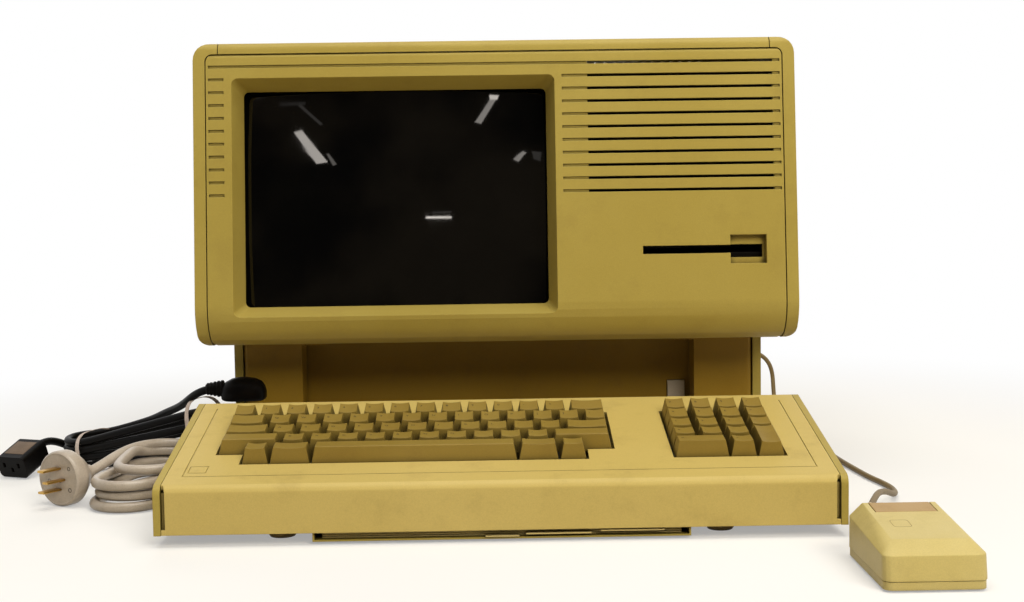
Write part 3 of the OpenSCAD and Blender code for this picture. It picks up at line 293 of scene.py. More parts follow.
def vinyl(name, tone, dusty, dust_and_shade=0.3, gloss=0.3, grain=900.0, depth=0.00012, shine=0.4):
    """Soft vinyl, rubber or ink, dull with dust and handling, with painted shade in its corners."""
    material, tree = blank(name)
    skin = placed(tree, vinyl_skin, Tone=tone, Dusty=dusty, Dust=dust_and_shade, Gloss=gloss, Grain=grain)
    wear_and_shade = placed(tree, edge_wear_and_shade, Radius=0.0005, Corner=0.004)
    # Painted shade: the colour goes towards near black in the corners that the occlusion mask finds
    shade = mixed(tree, sum_of(tree, "MULTIPLY", wear_and_shade["Dust"], 0.45), skin["Colour"], (0.02, 0.018, 0.015, 1))
    bump = put(tree, "Bump", Strength=0.6, Distance=depth, Height=skin["Height"], Normal=wear_and_shade["Rounded"])
    surface = put(tree, "BsdfPrincipled", Base_Color=shade, Roughness=skin["Roughness"],
                  Specular_IOR_Level=shine, Normal=bump.outputs[0]).outputs[0]
    put(tree, "OutputMaterial", Surface=surface)
    return material


lead_brown = vinyl("lead_brown", linear(120, 100, 62), linear(150, 130, 92), 0.4, 0.42, 1600.0)
lead_pale = vinyl("lead_pale", linear(205, 188, 158), linear(180, 160, 126), 0.3, 0.4, 1400.0)
grey_vinyl = vinyl("grey_vinyl", linear(190, 177, 160), linear(152, 136, 116), 0.45, 0.2, shine=0.6)
black_vinyl = vinyl("black_vinyl", linear(9, 8, 7), linear(28, 22, 17), 0.3, 0.3, shine=0.1)


def smoothed(points, count):
    """Points along a smooth line through the given ones, so many for each stretch."""
    def held(i):
        return points[min(max(i, 0), len(points) - 1)]

    line = []
    for i in range(len(points) - 1):
        a, b, c, d = held(i - 1), held(i), held(i + 1), held(i + 2)
        for k in range(count):
            t = k / count
            line.append(0.5 * (2 * b + (c - a) * t + (2 * a - 5 * b + 4 * c - d) * t * t
                               + (3 * b - a - 3 * c + d) * t * t * t))
    return line + [points[-1]]


def evened(line, step):
    """The same line with its points at an even distance."""
    walk = [0.0]
    for a, b in zip(line, line[1:]):
        walk.append(walk[-1] + (b - a).length)
    count = max(2, round(walk[-1] / step))
    even, k = [], 0
    for i in range(count + 1):
        goal = walk[-1] * i / count
        while k < len(walk) - 2 and walk[k + 1] < goal:
            k += 1
        span = max(walk[k + 1] - walk[k], 1e-9)
        even.append(line[k].lerp(line[k + 1], min(max((goal - walk[k]) / span, 0), 1)))
    return even, walk[-1]


def lead(name, points, diameter, finish, body="unit"):
    """A round lead along its points, eased as a stiff lead lies, as one open curve, and its length."""
    step = diameter * 0.5
    line, _ = evened(smoothed(points, 8), step)
    for _ in range(10):
        eased = [b * 0.5 + (a + c) * 0.25 for a, b, c in zip(line, line[1:], line[2:])]
        line = [line[0], *eased, line[-1]]
    line, length = evened(line, step)
    shape = bpy.data.curves.new(name, "CURVE")
    shape.dimensions = "3D"
    shape.bevel_depth = diameter / 2
    shape.bevel_resolution = 4
    shape.use_fill_caps = True
    spline = shape.splines.new("POLY")
    spline.points.add(len(line) - 1)
    for knot, p in zip(spline.points, line):
        knot.co = (*p, 1)
    shape.materials.append(finish)
    piece = bpy.data.objects.new(name, shape)
    scene.collection.objects.link(piece)
    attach(piece, body)
    return piece, length


mouse_route = [at(*p) for p in (
    (236.5, -424.5, 15), (237.5, -408, 16.5), (243, -385, 19.5), (252, -360, 20.5), (263, -330, 19),
    (276, -300, 13.5), (288, -272, 6), (295.5, -250, 2.6), (297, -232, 2.4), (295, -212, 2.4),
    (290, -180, 2.4), (284, -104, 2.4), (283, -30, 2.4), (284, 50, 2.4), (284, 125, 2.4),
    (283.5, 150, 2.8), (283.8, 168, 6), (284, 181, 14), (284.5, 189, 27), (284, 193, 40),
    (279.5, 197, 51.5), (269, 201.5, 58.5), (254, 206.5, 61.5), (234, 213.5, 61.5),
    (205, 223.5, 58.5), (178, 233, 55), (158, 240, 52), (141, 245, 50.4), (127, 245.5, 50),
    (116.5, 241.5, 50), (110.8, 233.5, 50), (110, 225.2, 50))]
mouse_lead, mouse_run = lead("mouse_cable", mouse_route, 0.0044, lead_brown)
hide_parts("mouse_lead")

# A pale sleeve keeps the lead from kinking where it leaves the mouse
mouse_sleeve, _ = lead("mouse_sleeve", [at(236.45, -424.6, 15), at(236.9, -417, 15.6), at(238.2, -404, 17),
                                        at(241, -392, 18.6), at(244.8, -378.5, 19.8)],
                       0.0062, lead_pale)

# Grey mains lead: from the socket at the back round the left side, three loops and a smaller one that
# stands up as an arch, and on to its plug
grey_near, grey_far = at(-279, -243, 0), at(-263, -180, 0)
grey_axis = (grey_far - grey_near).normalized()
grey_side = Vector((grey_axis.y, -grey_axis.x, 0))
grey_way = [at(*p) for p in (
    (-150, 238.6, 50), (-150.4, 245.5, 49.2), (-153.5, 252.5, 46.5), (-160, 257.3, 41.5),
    (-170, 259.3, 35), (-184, 258.6, 26.5), (-200, 254.5, 17), (-217, 246, 9), (-233, 232, 5),
    (-245, 208, 4.1), (-251, 170, 4.1), (-253, 120, 4.1), (-253, 60, 4.1), (-253, 0, 4.1),
    (-254.5, -50, 4.1), (-257.5, -90, 4.1), (-264, -122, 4.1), (-273.5, -150, 4.1), (-282, -172, 4.1))]


def loop_end(centre, axis, side, radius, start, end, steps, low, high):
    """Points round one end of a coil, from one angle to another, while the lead climbs."""
    points = []
    for k in range(steps + 1):
        t = k / steps
        a = math.radians(start + (end - start) * t)
        out = axis * radius * math.sin(a) + side * radius * math.cos(a)
        points.append(centre + out + Vector((0, 0, low + (high - low) * t)))
    return points


# Each loop has its radius, its height at the near and at the far end, and how far it shifts inward
GREY_LOOPS = ((0.0262, 0.0042, 0.0045, 0), (0.0254, 0.0120, 0.0125, 0.2), (0.0257, 0.0200, 0.0206, 0.05),
              (0.0245, 0.0285, 0.0335, 1))
GREY_TOP = 0.0335
grey_turns = []
for k, (radius, low, high, inner) in enumerate(GREY_LOOPS):
    last = k == len(GREY_LOOPS) - 1
    following = GREY_TOP if last else GREY_LOOPS[k + 1][1]
    near_now = grey_near + Vector((0.013, 0.016, 0)) * inner
    far_now = grey_far + Vector((0.001, 0.002, 0)) * inner
    for t in (0.8, 0.5, 0.2):
        swell = 0.0016 * math.sin(math.pi * t) * (k % 2)
        grey_turns.append(near_now.lerp(far_now, t) - grey_side * (radius + swell)
                          + Vector((0, 0, low + (high - low) * t)))
    grey_turns += loop_end(near_now, -grey_axis, -grey_side, radius, 8, 172, 4, low, low)
    for t in (0.2, 0.5, 0.8):
        grey_turns.append(near_now.lerp(far_now, t) + grey_side * radius
                          + Vector((0, 0, low + (following - low) * 0.5 * t + (high - low) * t)))
    halfway = low + (following - low) * 0.5
    grey_turns += loop_end(far_now, grey_axis, grey_side, radius, 8, 145 if last else 168, 4, halfway,
                           following)
grey_end = [at(*p) for p in (
    (-289, -171, 33), (-298, -184.5, 30.6), (-305.5, -197, 26.2), (-310.8, -205.6, 22.8),
    (-315.4, -213, 21))]
grey_lead, grey_run = lead("grey_cable", grey_way + grey_turns + grey_end, 0.0078, grey_vinyl)
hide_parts("grey_lead", "grey_hank")

# Black mains lead: nine runs between two ends, close together at the left and fanned out at the right
BLACK_RUNS = 9
black_near, black_far = at(-345, -88, 0), at(-228, -135, 0)
black_axis = (black_far - black_near).normalized()
black_side = Vector((-black_axis.y, black_axis.x, 0))


def black_height(level, t):
    """Height of a run of the black bundle, counted from 0 at the bottom, from its near to its far end."""
    return 0.0036 + 0.0031 * level + (0.0145 + 0.0028 * level) * t


black_points = [at(*p) for p in (
    (-389.3, -94.5, 22.7), (-387, -88, 24.4), (-383, -78.5, 24.4), (-375, -70, 20), (-364, -65, 12.5),
    (-352, -65, 6))]
for level in range(BLACK_RUNS):
    last = level == BLACK_RUNS - 1
    side = black_side if level % 2 == 0 else -black_side
    radius = 0.0222 - 0.0007 * (level % 4 > 1)
    way = (0.06, 0.35, 0.65, 0.94) if level % 2 == 0 else (0.94, 0.65, 0.35, 0.06)
    for t in way[:2] if last else way:
        black_points.append(black_near.lerp(black_far, t) + side * radius
                            + Vector((0, 0, black_height(level, t))))
    if last:
        break
    end = level % 2 == 0
    centre, axis = (black_far, black_axis) if end else (black_near, -black_axis)
    black_points += loop_end(centre, axis, side, radius, 14, 166, 4, black_height(level + 0.1, end),
                             black_height(level + 0.9, end))
black_points += [at(*p) for p in (
    (-284, -95, 47.5), (-272, -107, 53), (-262, -121, 58.5), (-254, -133, 64.5), (-246.5, -142, 70.5),
    (-239.5, -147, 74.3), (-232.6, -148, 75.3))]
black_lead, black_run = lead("black_cable", black_points, 0.0066, black_vinyl)
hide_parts("black_lead", "black_hank")


def squared(value, power):
    """A sine or cosine pushed outward, which turns a round outline into a square one with round corners."""
    return math.copysign(abs(value) ** power, value)


def ring_band(name, centre, axis, across, up, half_w, half_h, breadth, finish, body="unit"):
    """A narrow flat tie round a bundle: a closed band with a little thickness."""
    steps, thick = 40, 0.0006
    mesh = bpy.data.meshes.new(name)
    bm = bmesh.new()
    rings = []
    for i in range(steps):
        a = 2 * math.pi * i / steps
        wide = squared(math.cos(a), 0.7) * half_w
        high = squared(math.sin(a), 0.7) * half_h
        sway = 0.0006 * math.sin(3 * a)
        ring = []
        for out, slide in ((0, -breadth / 2), (0, breadth / 2), (thick, breadth / 2), (thick, -breadth / 2)):
            scale = 1 + out / half_w
            place = centre + across * wide * scale + up * high * scale + axis * (slide + sway)
            ring.append(bm.verts.new(place))
        rings.append(ring)
    for i in range(steps):
        a, b = rings[i], rings[(i + 1) % steps]
        for k in range(4):
            bm.faces.new((a[k], b[k], b[(k + 1) % 4], a[(k + 1) % 4]))
    bmesh.ops.recalc_face_normals(bm, faces=bm.faces)
    bm.to_mesh(mesh)
    bm.free()
    mesh.materials.append(finish)
    piece = bpy.data.objects.new(name, mesh)
    scene.collection.objects.link(piece)
    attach(piece, body)
    return piece


TIE_HALF_WIDTH, TIE_BREADTH = 0.0272, 0.0034
tie_vinyl = vinyl("tie_vinyl", linear(216, 200, 188), linear(176, 150, 130), 0.5, 0.45, 700.0)
for name, t in (("bundle_tie_near", 0.04), ("bundle_tie_far", 0.9)):
    lowest, highest = black_height(0, t), black_height(BLACK_RUNS - 1, t)
    high = (highest - lowest) / 2 + 0.0045
    middle = black_near.lerp(black_far, t) + Vector((0, 0, (lowest + highest) / 2))
    slant = (black_axis + Vector((0, 0, 0.24))).normalized()
    rise = slant.cross(Vector((0, 0, 1))).cross(slant).normalized()
    ring_band(name, middle, slant, black_side, rise, TIE_HALF_WIDTH, high, TIE_BREADTH,
                                tie_vinyl)

# ---- Plugs and sockets ----
# The grey lead ends in a round plug with three flat brass blades, and the black one in a domed plug
# and an appliance socket. All are vinyl, moulded over the ends of their leads.

brushed, given, made = group(
    "brushed", [("Tone", "colour", (0.6, 0.6, 0.6, 1)), ("Tarnish", "colour", (0.3, 0.25, 0.2, 1)),
                ("Age", "value", 0.3), ("Gloss", "value", 0.3), ("Stretch", "vector", (900.0, 900.0, 60.0))],
    [("Colour", "colour"), ("Roughness", "value"), ("Height", "value")])
spot = put(brushed, "TexCoord").outputs["Object"]
drawn = put(brushed, "VectorMath", {"operation": "MULTIPLY"}, _0=spot, _1=given["Stretch"]).outputs["Vector"]
hair = put(brushed, "TexNoise", Vector=drawn, Scale=1.0, Detail=3.0).outputs["Fac"]
stain = put(brushed, "TexNoise", Vector=spot, Scale=38.0, Detail=4.0, Roughness=0.6).outputs["Fac"]
dull = sum_of(brushed, "MULTIPLY", ramp(brushed, stain, 0.4, 0.7), given["Age"])
shade = mixed(brushed, dull, given["Tone"], given["Tarnish"])
brushed.links.new(mixed(brushed, ramp(brushed, hair, 0.3, 0.8, 0.0, 0.16), shade, (0.02, 0.02, 0.02, 1)),
                  made["Colour"])
rough = sum_of(brushed, "MULTIPLY_ADD", hair, 0.18, given["Gloss"])
brushed.links.new(sum_of(brushed, "MULTIPLY_ADD", dull, 0.2, rough), made["Roughness"])
brushed.links.new(hair, made["Height"])


def metal(name, tone, tarnish, age, gloss, stretch=(900.0, 900.0, 60.0), metallic=1.0):
    """Drawn or rolled metal, with its grain stretched one way, its stains of age and painted shade in its
    corners.
    """
    material, tree = blank(name)
    skin = placed(tree, brushed, Tone=tone, Tarnish=tarnish, Age=age, Gloss=gloss, Stretch=stretch)
    wear_and_shade = placed(tree, edge_wear_and_shade, Radius=0.0004, Corner=0.005)
    # Painted shade: the colour goes towards near black in the corners that the occlusion mask finds
    shade = mixed(tree, sum_of(tree, "MULTIPLY", wear_and_shade["Dust"], 0.4), skin["Colour"], (0.03, 0.025, 0.02, 1))
    bump = put(tree, "Bump", Strength=0.35, Distance=0.00006, Height=skin["Height"], Normal=wear_and_shade["Rounded"])
    surface = put(tree, "BsdfPrincipled", Base_Color=shade, Roughness=skin["Roughness"], Metallic=metallic,
                  Normal=bump.outputs[0]).outputs[0]
    put(tree, "OutputMaterial", Surface=surface)
    return material


brass = metal("brass", linear(206, 166, 92), linear(120, 86, 44), 0.4, 0.26)


def smooth(mesh):
    """Shades a mesh smooth, with its edges kept where it turns by more than a round form would."""
    mesh.shade_smooth()
    mesh.set_sharp_from_angle(angle=math.radians(38))


def keep_flat(piece):
    """Keeps the flat faces of a smooth piece flat, beside its rounded edges."""
    flat_faces = piece.modifiers.new("flat_faces", "WEIGHTED_NORMAL")
    flat_faces.weight = 80
    flat_faces.keep_sharp = True


def softened(name, width, corner=28, segments=2):
    """A copy of a CAD node with every sharp edge rounded, which stands for that node."""
    mesh = bpy.data.meshes.new(name + "_moulded")
    bm = bmesh.new()
    bm.from_mesh(nodes[name].data)
    bmesh.ops.remove_doubles(bm, verts=bm.verts, dist=2e-6)
    bmesh.ops.dissolve_limit(bm, angle_limit=math.radians(0.4), verts=bm.verts, edges=bm.edges)
    sharp = [e for e in bm.edges
             if len(e.link_faces) == 2 and e.calc_face_angle(0) > math.radians(corner)]
    bmesh.ops.bevel(bm, geom=sharp, offset=width, offset_type="OFFSET", segments=segments, profile=0.6,
                    affect="EDGES", clamp_overlap=True)
    bmesh.ops.recalc_face_normals(bm, faces=bm.faces)
    bmesh.ops.triangulate(bm, faces=[f for f in bm.faces if len(f.verts) > 4])
    bm.to_mesh(mesh)
    bm.free()
    smooth(mesh)
    piece = bpy.data.objects.new(name + "_moulded", mesh)
    scene.collection.objects.link(piece)
    keep_flat(piece)
    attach(piece, nodes[name]["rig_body"])
    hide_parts(name)
    return piece


def evenly(piece):
    """Keeps a piece's flat faces flat and its round ones round."""
    weld = piece.modifiers.new("weld", "WELD")
    weld.merge_threshold = 0.000002
    split = piece.modifiers.new("split", "EDGE_SPLIT")
    split.split_angle = math.radians(32)
    keep_flat(piece)
    piece.data.shade_smooth()


def coated(piece, finish):
    """Gives a piece one finish, in place of those that it came with."""
    piece.data.materials.clear()
    piece.data.materials.append(finish)


def dress(finish, *names):
    """Gives CAD nodes their finish."""
    for name in names:
        mesh = nodes[name].data
        evenly(nodes[name])
        if not nodes[name].material_slots:
            mesh.materials.append(finish)
        for holder in nodes[name].material_slots:
            holder.material = finish


def shaped(name, build, finishes, body, slot, *stands_for):
    """A piece made by a function that fills a bmesh."""
    mesh = bpy.data.meshes.new(name)
    bm = bmesh.new()
    build(bm)
    bm.to_mesh(mesh)
    bm.free()
    smooth(mesh)
    for finish in finishes:
        mesh.materials.append(finish)
    piece = bpy.data.objects.new(name, mesh)
    scene.collection.objects.link(piece)
    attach(piece, body)
    if stands_for:
        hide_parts(*stands_for)
    return piece


def lathe(bm, frame_of, profile, steps=48, finish=0):
    """Turns a profile of (height, radius) round the frame's own Z. Radius 0 closes the end."""
    rings = []
    angles = [2 * math.pi * k / steps for k in range(steps)]
    for z, r in profile:
        if r == 0:
            rings.append([bm.verts.new(frame_of @ Vector((0, 0, z)))])
        else:
            rings.append([bm.verts.new(frame_of @ Vector((r * math.cos(a), r * math.sin(a), z)))
                          for a in angles])
    for low, high in zip(rings, rings[1:]):
        for k in range(steps):
            m = (k + 1) % steps
            if len(low) == 1:
                face = bm.faces.new((low[0], high[m], high[k]))
            elif len(high) == 1:
                face = bm.faces.new((low[k], low[m], high[0]))
            else:
                face = bm.faces.new((low[k], low[m], high[m], high[k]))
            face.material_index = finish


def brick(bm, frame_of, low, high, bevel=0.0003, finish=0):
    """A block from corner to corner in a frame, with its edges rounded."""
    made_now = bmesh.ops.create_cube(bm, size=1)["verts"]
    middle, size = (Vector(low) + Vector(high)) / 2, Vector(high) - Vector(low)
    for v in made_now:
        v.co = frame_of @ (middle + Vector(v.co[i] * size[i] for i in range(3)))
    faces = {f for v in made_now for f in v.link_faces}
    for f in faces:
        f.material_index = finish
    if bevel:
        edges = {e for f in faces for e in f.edges}
        rounded = bmesh.ops.bevel(bm, geom=list(edges), offset=bevel, offset_type="OFFSET", segments=2,
                                  profile=0.6, affect="EDGES", clamp_overlap=True)
        for f in rounded["faces"]:
            f.material_index = finish


# Grey plug: its face looks to the front left, its blades one above the other
plug_turn = (Matrix.Translation(at(-332, -240, 21)) @ Matrix.Rotation(math.radians(-31.5), 4, "Z")
             @ Matrix.Rotation(math.radians(90), 4, "X"))


def grey_plug_build(bm):
    """A round body turned about its lead, three blades, and the small holes in its face."""
    mm = 0.001
    profile = [(-32, 0), (-32, 5.2), (-31.4, 5.9), (-26, 6.3), (-23.6, 10.6), (-18.5, 15.2), (-13, 19.3),
               (-11.2, 20.6), (-10, 21), (-2.2, 21), (-0.8, 20.6), (0, 19.6), (0, 18.9), (-0.35, 18.6),
               (-0.35, 0)]
    hole_profile = [(0, 1), (0.15, 1), (0.2, 0.85), (-0.5, 0.75), (-0.5, 0)]
    lathe(bm, plug_turn, [(z * mm, r * mm) for z, r in profile], 64, 0)
    for left, right, z in ((-3.2, 3.2, -7.6), (-3.2, 3.2, 8.2), (1.8, 7.4, 0)):
        brick(bm, plug_turn, (left * mm, (z - 0.9) * mm, -1 * mm),
              (right * mm, (z + 0.9) * mm, 16.8 * mm), 0.0004, 1)
    # The holes are shallow black dishes: their black is painted shade for the depth of each hole
    for x, y, radius in ((11.5, 8.6, 1.5), (-9.5, -1.8, 1.3), (2.0, -1.6, 1.1), (12.0, -7.5, 1.6)):
        hole = plug_turn @ Matrix.Translation(Vector((x * mm, y * mm, -0.0003)))
        lathe(bm, hole, [(z * mm, r * radius * mm) for z, r in hole_profile], 16, 2)


grey_plug = shaped("grey_mains_plug", grey_plug_build, (grey_vinyl, brass, black_vinyl), "unit", "grey_pvc",
                   "grey_plug")
grey_socket = softened("grey_socket", 0.0012)
coated(grey_socket, grey_vinyl)

# Black plug: a domed body that lies on top of the bundle, its pins to the back
dome_turn = Matrix.Translation(at(-206, -148, 65.8))


def black_plug_build(bm):
    """A domed body in level rings, a ribbed relief at its lead's end and two round pins behind."""
    mm = 0.001
    steps = 48
    rings = []
    for z, w, d in ((0, 15.5, 9.6), (0.8, 17.2, 11.2), (2.2, 18, 12), (7, 18, 12), (11, 17.2, 11.4),
                    (15, 14.5, 9.4), (17.6, 9.5, 6), (18.6, 4.5, 2.8), (18.8, 0, 0)):
        if w == 0:
            rings.append([bm.verts.new(dome_turn @ Vector((0, 0, z * mm)))])
            continue
        ring = []
        for k in range(steps):
            a = 2 * math.pi * k / steps
            x = squared(math.cos(a), 0.65) * w * mm
            y = squared(math.sin(a), 0.65) * d * mm
            ring.append(bm.verts.new(dome_turn @ Vector((x, y, z * mm))))
        rings.append(ring)
    bm.faces.new(rings[0][::-1])
    for low, high in zip(rings, rings[1:]):
        for k in range(steps):
            m = (k + 1) % steps
            bm.faces.new((low[k], low[m], *(high if len(high) == 1 else (high[m], high[k]))))
    relief = (dome_turn @ Matrix.Translation(Vector((-0.016, 0, 0.0095)))
              @ Matrix.Rotation(math.radians(-90), 4, "Y"))
    for z, r in ((0, 7), (3, 6.6), (6, 6), (9, 5.4), (11.5, 4.9)):
        rib = ((z, 0), (z, r - 0.8), (z + 0.5, r), (z + 2, r), (z + 2.5, r - 0.9), (z + 3.05, r - 1.1),
               (z + 3.05, 0))
        lathe(bm, relief, [(h * mm, q * mm) for h, q in rib], 32, 0)
    pin_profile = ((0, 0), (0, 2.2), (16, 2.2), (17.3, 1.4), (17.5, 0))
    for x in (-6, 6):
        pin = (dome_turn @ Matrix.Translation(Vector((x * mm, 0.011, 0.009)))
               @ Matrix.Rotation(math.radians(-90), 4, "X"))
        lathe(bm, pin, [(z * mm, r * mm) for z, r in pin_profile], 24, 1)


black_plug = shaped("black_mains_plug", black_plug_build, (black_vinyl, brass), "unit", "black_pvc",
                    "black_plug")
black_socket = softened("black_socket", 0.0012)
coated(black_socket, black_vinyl)

# A tan plate on the socket's top face: a painted highlight where its flat top catches the light
highlight_patch = vinyl("highlight_patch", linear(112, 94, 76), linear(78, 64, 50), 0.6, 0.5, 700.0)
patch_turn = (Matrix.Translation(at(-402, -126, 9.7)) @ Matrix.Rotation(math.radians(-22), 4, "Z")
              @ Matrix.Rotation(math.radians(21), 4, "X"))


def patch_build(bm):
    """A thin plate on the socket's own slant."""
    brick(bm, patch_turn, (-0.0095, 0.006, 0.0088), (0.0095, 0.0255, 0.0098), 0.0008)


socket_highlight = shaped("black_socket_highlight", patch_build, [highlight_patch], "unit", "black_pvc")

# ---- Main housing ----
# Two side shells, a top cover and a front panel of injection moulded plastic that has yellowed
# with age. The skin has a fine spark grain, paler on the handled edges, and painted shade in its corners.

aged_plastic, given, made = group(
    "aged_plastic",
    [("Tone", "colour", (0.6, 0.5, 0.3, 1)), ("Yellowed", "colour", (0.5, 0.4, 0.2, 1)),
     ("Ageing", "value", 0.6), ("Mottle", "value", 5.0), ("Grain", "value", 1400.0),
     ("Gloss", "value", 0.42), ("Smudge", "value", 0.25)],
    [("Colour", "colour"), ("Roughness", "value"), ("Height", "value")])
spot = put(aged_plastic, "TexCoord").outputs["Object"]
cloud = put(aged_plastic, "TexNoise", Vector=spot, Scale=given["Mottle"], Detail=4.0,
            Roughness=0.55).outputs["Fac"]
turned = sum_of(aged_plastic, "MULTIPLY", ramp(aged_plastic, cloud, 0.34, 0.68), given["Ageing"])
shade = mixed(aged_plastic, turned, given["Tone"], given["Yellowed"])
hands = put(aged_plastic, "TexNoise", Vector=spot, Scale=28.0, Detail=6.0, Roughness=0.7).outputs["Fac"]
smear = sum_of(aged_plastic, "MULTIPLY", ramp(aged_plastic, hands, 0.5, 0.74), given["Smudge"])
shade = mixed(aged_plastic, smear, shade, linear(120, 92, 48))
spark = put(aged_plastic, "TexNoise", Vector=spot, Scale=given["Grain"], Detail=2.0,
            Roughness=0.6).outputs["Fac"]
fleck = put(aged_plastic, "TexVoronoi", Vector=spot, Scale=310.0).outputs["Distance"]
fleck = ramp(aged_plastic, fleck, 0.085, 0.03, 0.0, 0.22)
shade = mixed(aged_plastic, fleck, shade, linear(86, 62, 30))
shade = mixed(aged_plastic, ramp(aged_plastic, spark, 0.25, 0.8, 0.0, 0.10), shade, (0, 0, 0, 1))
aged_plastic.links.new(shade, made["Colour"])
rough = sum_of(aged_plastic, "MULTIPLY_ADD", hands, 0.2, given["Gloss"])
aged_plastic.links.new(rough, made["Roughness"])
aged_plastic.links.new(sum_of(aged_plastic, "MULTIPLY_ADD", hands, 0.3, spark), made["Height"])


def moulding(name, tone, yellowed, ageing, mottle=5.0, grain=1400.0, gloss=0.40, smudge=0.2,
             edge_tone=None, dust_and_shade=0.6, corner=0.006, shine=0.3):
    """Moulded plastic with a fine grain, yellowed in clouds, pale at its edges, with painted shade in its
    corners.
    """
    material, tree = blank(name)
    skin = placed(tree, aged_plastic, Tone=tone, Yellowed=yellowed, Ageing=ageing, Mottle=mottle, Grain=grain,
                  Gloss=gloss, Smudge=smudge)
    wear_and_shade = placed(tree, edge_wear_and_shade, Radius=0.0007, Corner=corner)
    pale = edge_tone or tuple(min(1, c * 1.25) for c in tone[:3]) + (1,)
    shade = mixed(tree, sum_of(tree, "MULTIPLY", wear_and_shade["Edge"], 0.35), skin["Colour"], pale)
    # Painted shade: the colour goes to a fifth of its tone in the corners that the occlusion mask finds
    shade = mixed(tree, sum_of(tree, "MULTIPLY", wear_and_shade["Dust"], dust_and_shade), shade,
                  tuple(c * 0.22 for c in tone[:3]) + (1,))
    bump = put(tree, "Bump", Strength=0.5, Distance=0.00009, Height=skin["Height"], Normal=wear_and_shade["Rounded"])
    surface = put(tree, "BsdfPrincipled", Base_Color=shade, Roughness=skin["Roughness"],
                  Specular_IOR_Level=shine, Normal=bump.outputs[0]).outputs[0]
    put(tree, "OutputMaterial", Surface=surface)
    return material


# Strong painted shade darkens the case's corners, slots and louvres
case_plastic = moulding("case_plastic", linear(179, 158, 77), linear(169, 147, 64), 0.7, smudge=0.12,
                        dust_and_shade=0.9)
# A darker copy of the case plastic: painted shade for the column and tabs under the overhanging head
shaded_column_plastic = moulding("shaded_column_plastic", linear(158, 124, 40), linear(142, 108, 28), 0.7, smudge=0.25)
dress(case_plastic, "case_left", "case_right", "top_cover", "front_panel", "rear_panel")
dress(shaded_column_plastic, "column_front", "panel_tab_left", "panel_tab_right")

# ---- Screen ----
# The picture tube's thick glass front, dark and glossy, behind the moulded funnel. Its cone is
# painted dark outside, and the deflection yoke of copper windings sits on its neck.

tube_glass, tree = blank("tube_glass")
spot = put(tree, "TexCoord").outputs["Object"]
smears = put(tree, "TexNoise", Vector=spot, Scale=16.0, Detail=5.0, Roughness=0.6).outputs["Fac"]
motes = put(tree, "TexVoronoi", Vector=spot, Scale=260.0).outputs["Distance"]
motes = ramp(tree, motes, 0.05, 0.015, 0.0, 0.5)
base = mixed(tree, ramp(tree, smears, 0.4, 0.75, 0.0, 0.5), linear(4, 4, 4), linear(12, 11, 9))
base = mixed(tree, motes, base, linear(60, 54, 44))
gloss = sum_of(tree, "MULTIPLY_ADD", ramp(tree, smears, 0.45, 0.8), 0.05, 0.02)
surface = put(tree, "BsdfPrincipled", Base_Color=base, Roughness=gloss, IOR=1.52).outputs[0]
put(tree, "OutputMaterial", Surface=surface)
picture_tube = softened("picture_tube", 0.0012, 45, 3)
coated(picture_tube, tube_glass)

winding, tree = blank("winding")
spot = put(tree, "TexCoord").outputs["Object"]
turns = put(tree, "TexWave", {"wave_type": "RINGS", "rings_direction": "Y"}, Vector=spot, Scale=420.0,
            Distortion=1.6).outputs["Fac"]
base = mixed(tree, ramp(tree, turns, 0.1, 0.9), linear(70, 30, 14), linear(176, 92, 44))
bump = put(tree, "Bump", Strength=0.9, Distance=0.0004, Height=turns).outputs[0]
surface = put(tree, "BsdfPrincipled", Base_Color=base, Roughness=0.35, Metallic=0.6, Normal=bump).outputs[0]
put(tree, "OutputMaterial", Surface=surface)
dress(winding, "deflection_yoke")

# ---- Chassis and insides ----
# Folded zinc plated sheet carries the tube, the disk drive, the supply and the boards. The boards are
# green with copper tracks, and the drive is a steel box with a black face behind the disk slot.

zinc_tone, zinc_stain = linear(178, 180, 180), linear(120, 116, 108)
rolled = (300.0, 30.0, 300.0)
zinc_steel = metal("zinc_steel", zinc_tone, zinc_stain, 0.5, 0.34, rolled, 0.9)
dress(zinc_steel, "base_pan", "tube_bracket", "power_supply", "card_cage", "port_panel",
      "chassis_shelf", "key_switches", "mouse_roller_x", "mouse_roller_y")

board_green, tree = blank("board_green")
spot = put(tree, "TexCoord").outputs["Object"]
tracks = put(tree, "TexBrick", {"offset": 0.37}, Vector=spot, Scale=160.0, Mortar_Size=0.12, Bias=0.2,
             Color1=(0, 0, 0, 1), Color2=(0.2, 0.2, 0.2, 1), Mortar=(1, 1, 1, 1)).outputs["Color"]
dots = put(tree, "TexVoronoi", Vector=spot, Scale=190.0).outputs["Distance"]
base = mixed(tree, ramp(tree, tracks, 0.3, 0.8, 0.0, 0.5), linear(28, 74, 42), linear(60, 120, 70))
base = mixed(tree, ramp(tree, dots, 0.2, 0.12, 0.0, 0.8), base, linear(170, 164, 150))
surface = put(tree, "BsdfPrincipled", Base_Color=base, Roughness=0.4).outputs[0]
put(tree, "OutputMaterial", Surface=surface)
dress(board_green, "circuit_boards")

black_plastic = moulding("black_plastic", linear(24, 22, 20), linear(34, 31, 27), 0.5, 9.0, 1500.0, 0.38, 0.1,
                         edge_tone=linear(70, 64, 56), dust_and_shade=0.3, shine=0.2)

